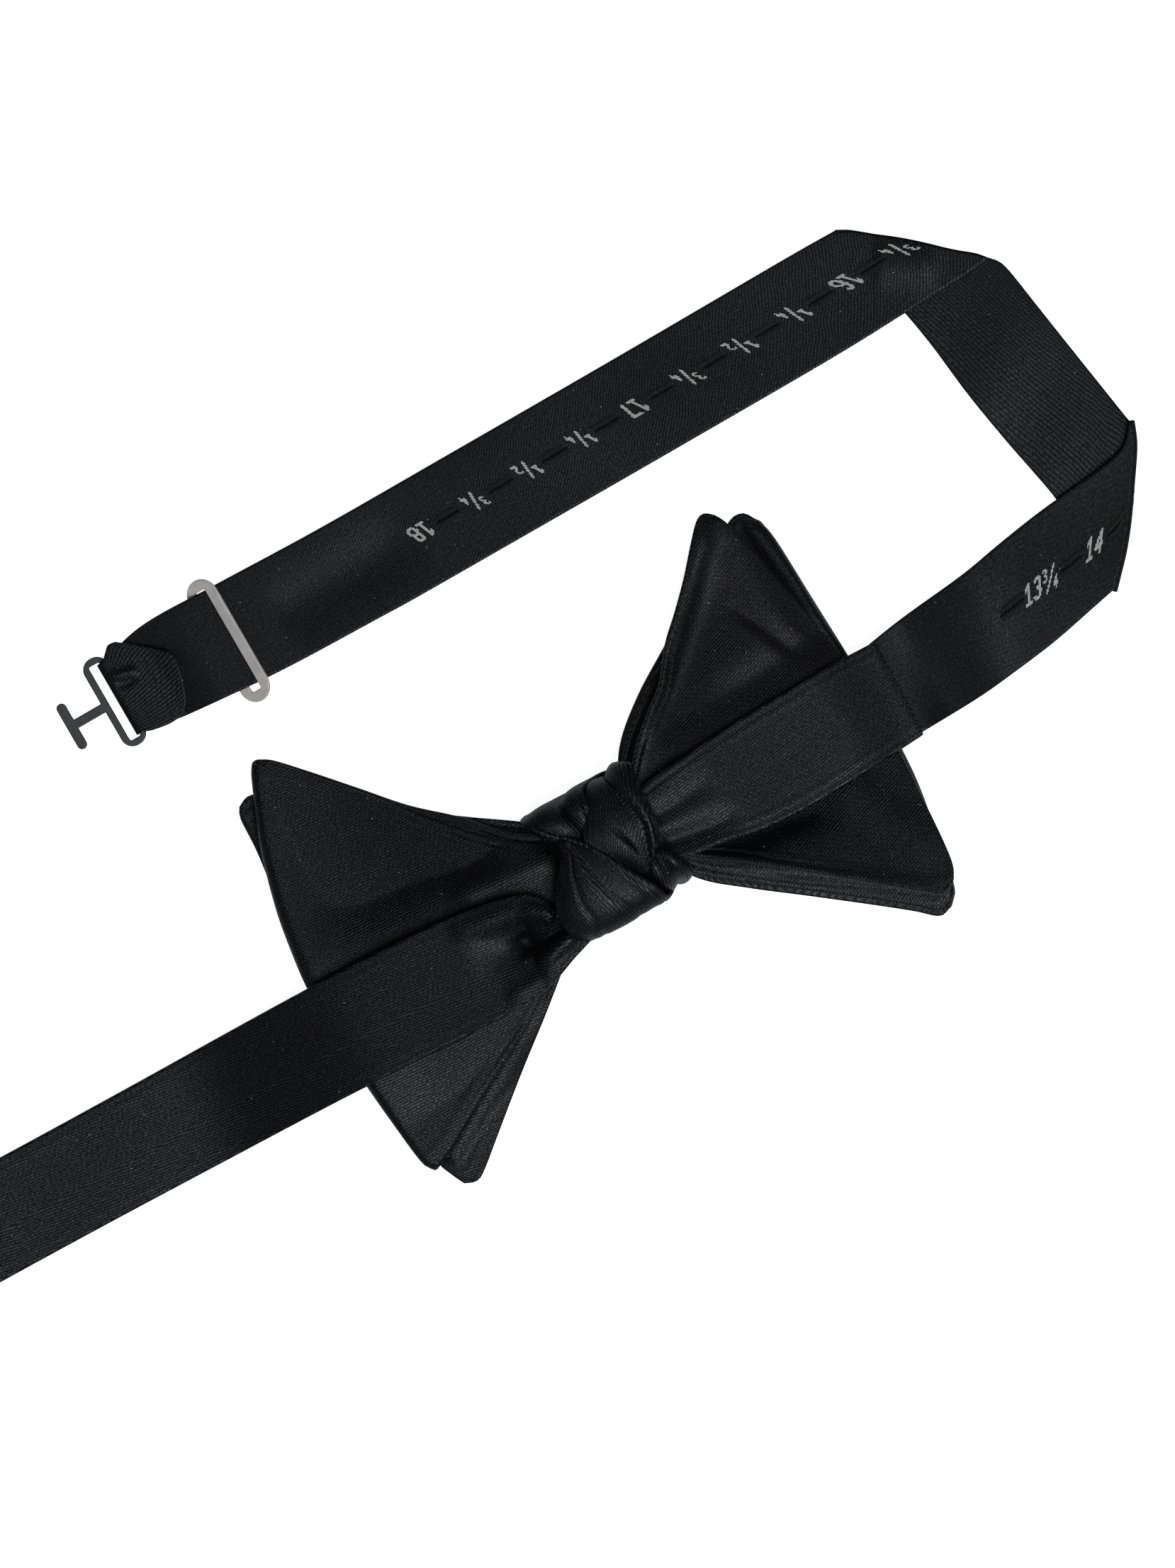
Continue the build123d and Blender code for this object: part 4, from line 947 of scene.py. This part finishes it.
def on_tape(rows, places, lift):
    """Points on the tape: row and column with fractions, blended between four points, then lifted."""
    rows, places, lift = np.broadcast_arrays(rows, places, lift)
    r0 = np.clip(rows.astype(int), 0, tape.shape[0] - 2)
    c0 = np.clip(places.astype(int), 0, tape.shape[1] - 2)
    fr, fc = (rows - r0)[..., None], (places - c0)[..., None]

    def blend(values):
        return ((1 - fr) * (1 - fc) * values[r0, c0] + (1 - fr) * fc * values[r0, c0 + 1]
                + fr * (1 - fc) * values[r0 + 1, c0] + fr * fc * values[r0 + 1, c0 + 1])

    normal = blend(tape_normal)
    normal /= np.linalg.norm(normal, axis=-1, keepdims=True) + 1e-9
    return blend(even_tape) + normal * lift[..., None], normal


even_tape = tape.copy()
even_tape[:, middle - 1] = centre - across * CLOSED_HALF
even_tape[:, middle] = centre + across * CLOSED_HALF
COLUMN_STEP = TAPE_WIDE / (tape_columns - 1)


def rows_along(row, distance):
    """The row that lies a distance in millimetres further along the tape."""
    return np.interp(np.interp(row, np.arange(len(run)), run) + distance, run, np.arange(len(run)))


def threads(lines, up, radius, sides=6):
    """Short threads as one mesh: a ring of points round each line, thinner at its ends, with both ends
    closed. lines is (count, points, 3), up the direction away from the cloth, radius (count, points)."""
    count, steps = lines.shape[:2]
    ahead = np.gradient(lines, axis=1)
    ahead /= np.linalg.norm(ahead, axis=-1, keepdims=True) + 1e-9
    across = np.cross(up, ahead)
    across /= np.linalg.norm(across, axis=-1, keepdims=True) + 1e-9
    over = np.cross(ahead, across)
    angle = np.arange(sides) * 2 * np.pi / sides
    ring = (across[:, :, None] * np.cos(angle)[:, None] + over[:, :, None] * np.sin(angle)[:, None])
    points = lines[:, :, None] + ring * radius[:, :, None, None]
    index = np.arange(count * steps * sides).reshape(count, steps, sides)
    following = np.roll(index, -1, axis=2)
    walls = np.stack([index[:, :-1], following[:, :-1], following[:, 1:], index[:, 1:]], -1).reshape(-1, 4)
    first, last = index[:, 0], index[:, -1]
    caps = [first[:, [3, 2, 1, 0]], first[:, [0, 5, 4, 3]], last[:, [0, 1, 2, 3]], last[:, [3, 4, 5, 0]]]
    place = np.stack([np.broadcast_to(np.arange(steps)[None, :, None] * 0.3, index.shape),
                      np.broadcast_to(angle, index.shape) * 0.1 + np.arange(count)[:, None, None] * 0.7], -1)
    return points.reshape(-1, 3), np.concatenate([walls, *caps]), place.reshape(-1, 2)


def thread_material(name, dark, light, roughness):
    """Spun thread: fine ridges that twist round it at a slant, in two colours by grain, painted shade between
    the ridges and painted glints.
    """
    return woven_material(name, 35, 0.22, dark, light, roughness, 0.6)


# The black thread: the dark colour in painted shade between ridges, the light one at painted glints.
black_thread = thread_material("black_thread", (0.006, 0.006, 0.007), (0.03, 0.03, 0.034), 0.55)
STITCHES = 12            # along each side of a slot
OVERCAST_RADIUS = 0.2
slant = np.linspace(0, 1, 6)
spread = (np.arange(STITCHES) - (STITCHES - 1) / 2) * (2 * SLOT_HALF / STITCHES)
slot_grid, stitch_grid, side_grid = np.meshgrid(slot_rows, spread, [-1, 1], indexing="ij")
pick = np.random.default_rng(5)
jitter = pick.uniform(-1, 1, slot_grid.shape + (3,))
reach_out = 1.2 + 0.16 * jitter[..., 0]
begin = stitch_grid + 0.06 * jitter[..., 1]
near_end = 0.14 + 0.1 * (1 - (stitch_grid / SLOT_HALF) ** 2)
along = begin[..., None] + 0.42 * slant
sideways = side_grid[..., None] * (near_end[..., None] - 0.08 + reach_out[..., None] * slant)
stitch_rows = rows_along(np.broadcast_to(slot_grid[..., None], along.shape), along)
stitch_columns = middle - 0.5 + sideways / COLUMN_STEP
lift = TAPE_HALF - 0.02 + 0.13 * np.sin(np.pi * np.clip(slant * 0.9 + 0.12, 0, 1))
lines, normals = on_tape(stitch_rows, stitch_columns, lift)
lines, normals = lines.reshape(-1, 6, 3), normals.reshape(-1, 6, 3)
thick = np.broadcast_to(OVERCAST_RADIUS * np.array([0.55, 0.95, 1.05, 1.0, 0.8, 0.3]), lines.shape[:2])
points, faces, place = threads(lines, normals, thick)
points[:, 2] = np.maximum(points[:, 2], 0.02)    # pressed flat where the tape lies on the table
edging = make_piece("buttonhole_edging_thread", points, faces, place, black_thread, "cloth", "thread")
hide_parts("buttonhole_edging")

# The size numbers: woven into the tape in off-white thread, so each is built of small square blocks that
# stand a little above the ground. They give collar sizes from 13 3/4 to 18 inches by quarters.
BLOCK = 0.29             # the side of one block
DIGIT_H, FRACTION_H = 3.2, 1.9
DIGIT_PEN, SLASH_PEN, FRACTION_PEN = 0.62, 0.5, 0.4
DIGIT_GAP = 0.62


def arc(x, y, across, tall, start, end):
    """Points round an ellipse, from one angle in degrees to another."""
    angle = np.radians(np.linspace(start, end, 17))
    return list(zip(x + across * np.cos(angle), y + tall * np.sin(angle)))


strokes = {   # each digit's pen strokes, in a box half as wide as it is high, which is 1
    "1": [[(0.08, 0.76), (0.3, 1), (0.3, 0)], [(0.1, 0), (0.5, 0)]],
    "2": [arc(0.27, 0.74, 0.23, 0.26, 165, -35) + [(0.04, 0.02), (0.52, 0.02)]],
    "3": [arc(0.25, 0.75, 0.22, 0.25, 150, -80), arc(0.25, 0.26, 0.25, 0.26, 85, -150)],
    "4": [[(0.42, 0), (0.42, 1), (0.04, 0.32), (0.56, 0.32)]],
    "5": [[(0.48, 1), (0.1, 1), (0.06, 0.55)] + arc(0.25, 0.31, 0.25, 0.31, 110, -150)],
    "6": [arc(0.3, 0.5, 0.26, 0.5, 60, 180), arc(0.28, 0.28, 0.24, 0.28, 0, 360)],
    "7": [[(0.04, 1), (0.54, 1), (0.22, 0)]],
    "8": [arc(0.28, 0.76, 0.2, 0.24, 0, 360), arc(0.28, 0.27, 0.25, 0.27, 0, 360)],
    "/": [[(0.05, -0.1), (0.6, 1.1)]],
}


def blocks_of(strokes_here, size, weight):
    """The square cells that a pen of this weight covers: those whose middle is near a stroke."""
    lines = [np.array(stroke) * size for stroke in strokes_here]
    starts = np.concatenate([line[:-1] for line in lines])
    steps = np.concatenate([np.diff(line, axis=0) for line in lines])
    cells = np.stack(np.meshgrid(np.arange(-2, 14), np.arange(-2, 15), indexing="ij"), -1).reshape(-1, 2)
    cells = (cells + 0.5) * BLOCK
    offset = cells[:, None] - starts
    share = np.clip((offset * steps).sum(-1) / (steps ** 2).sum(-1), 0, 1)
    away = np.linalg.norm(offset - share[..., None] * steps, axis=-1).min(axis=1)
    return cells[away < weight / 2]


def label_blocks(text):
    """A size as block middles round its own middle. A fraction is small and slanted round a slash."""
    parts, x = [], 0.0
    whole, _, fraction = text.partition(" ")
    for digit in whole:
        parts.append(blocks_of(strokes[digit], DIGIT_H, DIGIT_PEN) + [x, -DIGIT_H / 2])
        x += 0.5 * DIGIT_H + DIGIT_GAP
    if fraction:
        upper, lower = fraction.split("/")
        parts.append(blocks_of(strokes[upper], FRACTION_H, FRACTION_PEN) + [x, 0.05])
        parts.append(blocks_of(strokes["/"], DIGIT_H, SLASH_PEN) + [x + 0.9, -DIGIT_H / 2])
        parts.append(blocks_of(strokes[lower], FRACTION_H, FRACTION_PEN) + [x + 2.75, -DIGIT_H / 2 - 0.3])
        x += 4.4
    return np.concatenate(parts) - [(x - 0.5) / 2, 0]


labels = [("13 3/4", row_at(seam_x + 36.9, first_rows, 0)), ("14", row_at(seam_x + 50.4, first_rows, 0))]
labels += [(text, row_at(-8 + SLOT_STEP * n, middle_rows, 1))
           for n, text in enumerate((" 1/4", " 1/2", " 3/4", "15", " 1/4", " 1/2"), start=1)]
labels += [(text, row_at(112.6 - SLOT_STEP * n, long_rows, 0)) for n, text in enumerate(
    (" 3/4", "16", " 1/4", " 1/2", " 3/4", "17", " 1/4", " 1/2", " 3/4", "18"))]
spots = [label_blocks(text) for text, _ in labels]
label_rows = np.concatenate([np.full(len(spot), row) for spot, (_, row) in zip(spots, labels)])
spots = np.concatenate(spots)
corner = np.array([(-1, -1), (1, -1), (1, 1), (-1, 1)])
plan = spots[:, None] + corner * BLOCK * 0.47
top = spots[:, None] + corner * BLOCK * 0.34
base_rows = rows_along(label_rows[:, None], plan[..., 0])
top_rows = rows_along(label_rows[:, None], top[..., 0])
base, _ = on_tape(base_rows, middle - 0.5 + plan[..., 1] / COLUMN_STEP, np.array(TAPE_HALF - 0.03))
crown, _ = on_tape(top_rows, middle - 0.5 + top[..., 1] / COLUMN_STEP, np.array(TAPE_HALF + 0.07))
points = np.concatenate([base, crown], axis=1).reshape(-1, 3)
index = np.arange(len(spots))[:, None] * 8
sides = [[0, 1, 5, 4], [1, 2, 6, 5], [2, 3, 7, 6], [3, 0, 4, 7], [4, 5, 6, 7], [3, 2, 1, 0]]
faces = np.concatenate([index + np.array(side) for side in sides])
place = np.repeat(np.stack([label_rows * 0.3, label_rows * 0], -1), 8, axis=0)
place = place + np.concatenate([plan, top], axis=1).reshape(-1, 2)
# The off-white thread: the dark colour in painted shade between ridges, the light one at painted glints.
white_thread = thread_material("off_white_thread", (0.42, 0.42, 0.40), (0.72, 0.72, 0.69), 0.7)
make_piece("size_numbers_thread", points, faces, place, white_thread, "cloth", "thread")

# The sewing: a zigzag that joins the tape to the short band, a row across the hook's tab, and a row
# across the end ring's tab. Each stitch is a short thread that dips into the cloth at both ends.


def stitch_run(points, up, length, thickness, arch):
    """One stitch centred on each point, along the line that the points make, and arched over the cloth."""
    ahead = np.gradient(points, axis=0)
    ahead /= np.linalg.norm(ahead, axis=-1, keepdims=True)
    t = np.linspace(-0.5, 0.5, 6)
    lines = points[:, None] + ahead[:, None] * t[:, None] * length
    lines[..., 2] += arch * np.cos(np.pi * t) - 0.05
    radius = np.broadcast_to(thickness * np.array([0.6, 0.95, 1, 1, 0.95, 0.6]), lines.shape[:2])
    return threads(lines, np.broadcast_to(up, lines.shape), radius)


ZIG_POINTS, ZIG_HALF = 29, 0.7
zig_x = seam_x - 0.1 + ZIG_HALF * (-1.0) ** np.arange(ZIG_POINTS)
zig_z = np.full(ZIG_POINTS, band_end_z + STRIP_HALF + 0.08)
corners = np.stack([zig_x, np.linspace(-12.9, 6.4, ZIG_POINTS), zig_z], -1)
t = np.linspace(0, 1, 6)[:, None]
lines = corners[:-1, None] * (1 - t) + corners[1:, None] * t
lines[..., 2] += 0.12 * np.sin(np.pi * t[:, 0]) - 0.06
UP = np.array([0, 0, 1.0])
zigzag = threads(lines, np.broadcast_to(UP, lines.shape),
                 np.broadcast_to(0.24 * np.array([0.7, 1, 1, 1, 1, 0.7]), lines.shape[:2]))
hook_row = np.stack([np.linspace(-65, -65.5, 14), np.linspace(80.4, 66.6, 14),
                     np.full(14, bar_z + bar_turn + 0.3)], -1)
tab_top = plain_band[-1, :, 2].max() + STRIP_HALF
end_row = np.stack([np.full(18, ring_bar_x + 9.6), np.linspace(ring_y - 9.8, ring_y + 9.8, 18),
                    np.full(18, tab_top + 0.05)], -1)
for name, stitches in (
        ("seam_stitches", zigzag),
        ("hook_tab_stitches", stitch_run(hook_row, UP, 0.8, 0.16, 0.14)),
        ("end_tab_stitches", stitch_run(end_row, UP, 0.85, 0.17, 0.15))):
    piece = make_piece(name + "_thread", *stitches, black_thread, "cloth", "thread")
    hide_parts(name)

# The metal fittings: a keeper ring that slides on the tape and an end ring, stamped from steel sheet and
# finished in a pale matt grey, and a flat hook in black enamel. The CAD shapes stay as they are.


def speck_group():
    """Fine grit in a sprayed finish, and slow clouding of its colour."""
    group, given, result = start_group("sprayed_finish", [("Place", "NodeSocketVector", None)],
                                       [("Grit", "NodeSocketFloat"), ("Cloud", "NodeSocketFloat")])
    link = group.links.new
    grit = node(group, "ShaderNodeTexNoise", Scale=5200.0, Detail=2.0)
    cloud = node(group, "ShaderNodeTexNoise", Scale=420.0, Detail=3.0)
    for texture, name, low, high in ((grit, "Grit", 0.35, 0.65), (cloud, "Cloud", 0.3, 0.7)):
        link(given.outputs["Place"], texture.inputs["Vector"])
        spread = node(group, "ShaderNodeMapRange", From_Min=low, From_Max=high)
        link(texture.outputs[0], spread.inputs["Value"])
        link(spread.outputs[0], result.inputs[name])
    return group


SPRAYED = speck_group()


PEBBLE_DEPTH = 0.00004    # metres


def fitting_material(name, dark, light, roughness, metallic, relief):
    """A sprayed or enamelled metal: two close colours by grit and cloud, with a slightly pebbled gloss."""
    material, tree, link, shader = start_material(name)
    finish = node(tree, "ShaderNodeGroup", node_tree=SPRAYED)
    link(tree.nodes.new("ShaderNodeTexCoord").outputs["Object"], finish.inputs["Place"])
    mixed = math_node(tree, "ADD", math_node(tree, "MULTIPLY", finish.outputs["Grit"], 0.5),
                      math_node(tree, "MULTIPLY", finish.outputs["Cloud"], 0.5))
    link(mixed_colour(tree, dark, light, mixed), shader.inputs["Base Color"])
    rough = node(tree, "ShaderNodeMapRange", To_Min=roughness + 0.08, To_Max=roughness - 0.06)
    link(finish.outputs["Cloud"], rough.inputs["Value"])
    link(rough.outputs[0], shader.inputs["Roughness"])
    add_bump(tree, finish.outputs["Grit"], relief, PEBBLE_DEPTH)
    shader.inputs["Metallic"].default_value = metallic
    return material


pale_grey = fitting_material("pale_grey_fitting", (0.30, 0.28, 0.26), (0.46, 0.43, 0.41), 0.5, 0.15, 0.5)
black_enamel = fitting_material("black_enamel_fitting", (0.004, 0.004, 0.004), (0.010, 0.010, 0.010),
                                0.5, 0.0, 0.4)
for fitting, finish in (("keeper_ring", pale_grey), ("end_ring", pale_grey), ("t_hook", black_enamel)):
    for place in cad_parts[fitting].material_slots:
        place.material = finish

# The studio: a pale floor, broad soft lamps to the sides, and a camera straight above.
FLOOR_REACH, FLOOR_DROP = 1.6, 0.00015    # metres from the middle to a side, and down to its top
floor_mesh = bpy.data.meshes.new("floor")
floor_corners = np.array([(-1, -1), (1, -1), (1, 1), (-1, 1)]) * FLOOR_REACH
floor_mesh.from_pydata([(x, y, -FLOOR_DROP) for x, y in floor_corners], [], [(0, 1, 2, 3)])
floor = bpy.data.objects.new("floor", floor_mesh)
bpy.context.collection.objects.link(floor)
floor_paint, tree, link, shader = start_material("floor_paint")
for socket, value in (("Base Color", (0.7, 0.7, 0.7, 1)), ("Roughness", 0.9), ("Specular IOR Level", 0.1),
                      ("Emission Color", (1, 1, 1, 1))):
    shader.inputs[socket].default_value = value
seen = tree.nodes.new("ShaderNodeLightPath").outputs["Is Camera Ray"]
link(math_node(tree, "MULTIPLY", seen, 0.9), shader.inputs["Emission Strength"])
floor_mesh.materials.append(floor_paint)


LAMP_COLOUR = (0.93, 0.965, 1.0)


def lamp(name, place, target, size, power):
    """A square soft lamp that faces a point, in metres and watts."""
    light = bpy.data.lights.new(name, "AREA")
    light.shape = "SQUARE"
    light.size = size
    light.energy = power
    light.color = LAMP_COLOUR
    made = bpy.data.objects.new(name, light)
    bpy.context.collection.objects.link(made)
    away = np.array(place) - np.array(target)
    flat = np.hypot(away[0], away[1])
    made.location = place
    made.rotation_euler = (np.arctan2(flat, away[2]), 0, np.arctan2(away[0], -away[1]))


AIM = (0, 0.02, 0)
lamp("main_lamp", (0.16, -0.56, 1.35), AIM, 0.8, 26)
lamp("left_lamp", (-1.2, 0.1, 0.9), AIM, 0.6, 1.6)
lamp("back_lamp", (0.3, 1.2, 0.9), AIM, 0.6, 0.8)
WORLD_LIGHT = 0.08       # what the surroundings add. The camera itself sees them white
world = bpy.data.worlds.new("studio")
bpy.context.scene.world = world
world.use_nodes = True
tree = world.node_tree
background = tree.nodes["Background"]
background.inputs["Color"].default_value = (1, 1, 1, 1)
seen = tree.nodes.new("ShaderNodeLightPath").outputs["Is Camera Ray"]
glow = math_node(tree, "ADD", math_node(tree, "MULTIPLY", seen, 1 - WORLD_LIGHT), WORLD_LIGHT)
tree.links.new(glow, background.inputs["Strength"])
bpy.context.scene.view_settings.view_transform = "Standard"
FRAME_HEIGHT = 0.3243    # the height of the view on the table
LENS, SENSOR = 200, 36   # millimetres
camera_data = bpy.data.cameras.new("camera")
camera_data.sensor_fit = "VERTICAL"
camera_data.sensor_height = SENSOR
camera_data.lens = LENS
camera_data.clip_start, camera_data.clip_end = 0.02, 20
camera = bpy.data.objects.new("camera", camera_data)
bpy.context.collection.objects.link(camera)
camera.location = (0.00149, 0.01167, FRAME_HEIGHT / SENSOR * LENS)
camera.rotation_euler = (0, 0, np.radians(-30))
bpy.context.scene.camera = camera
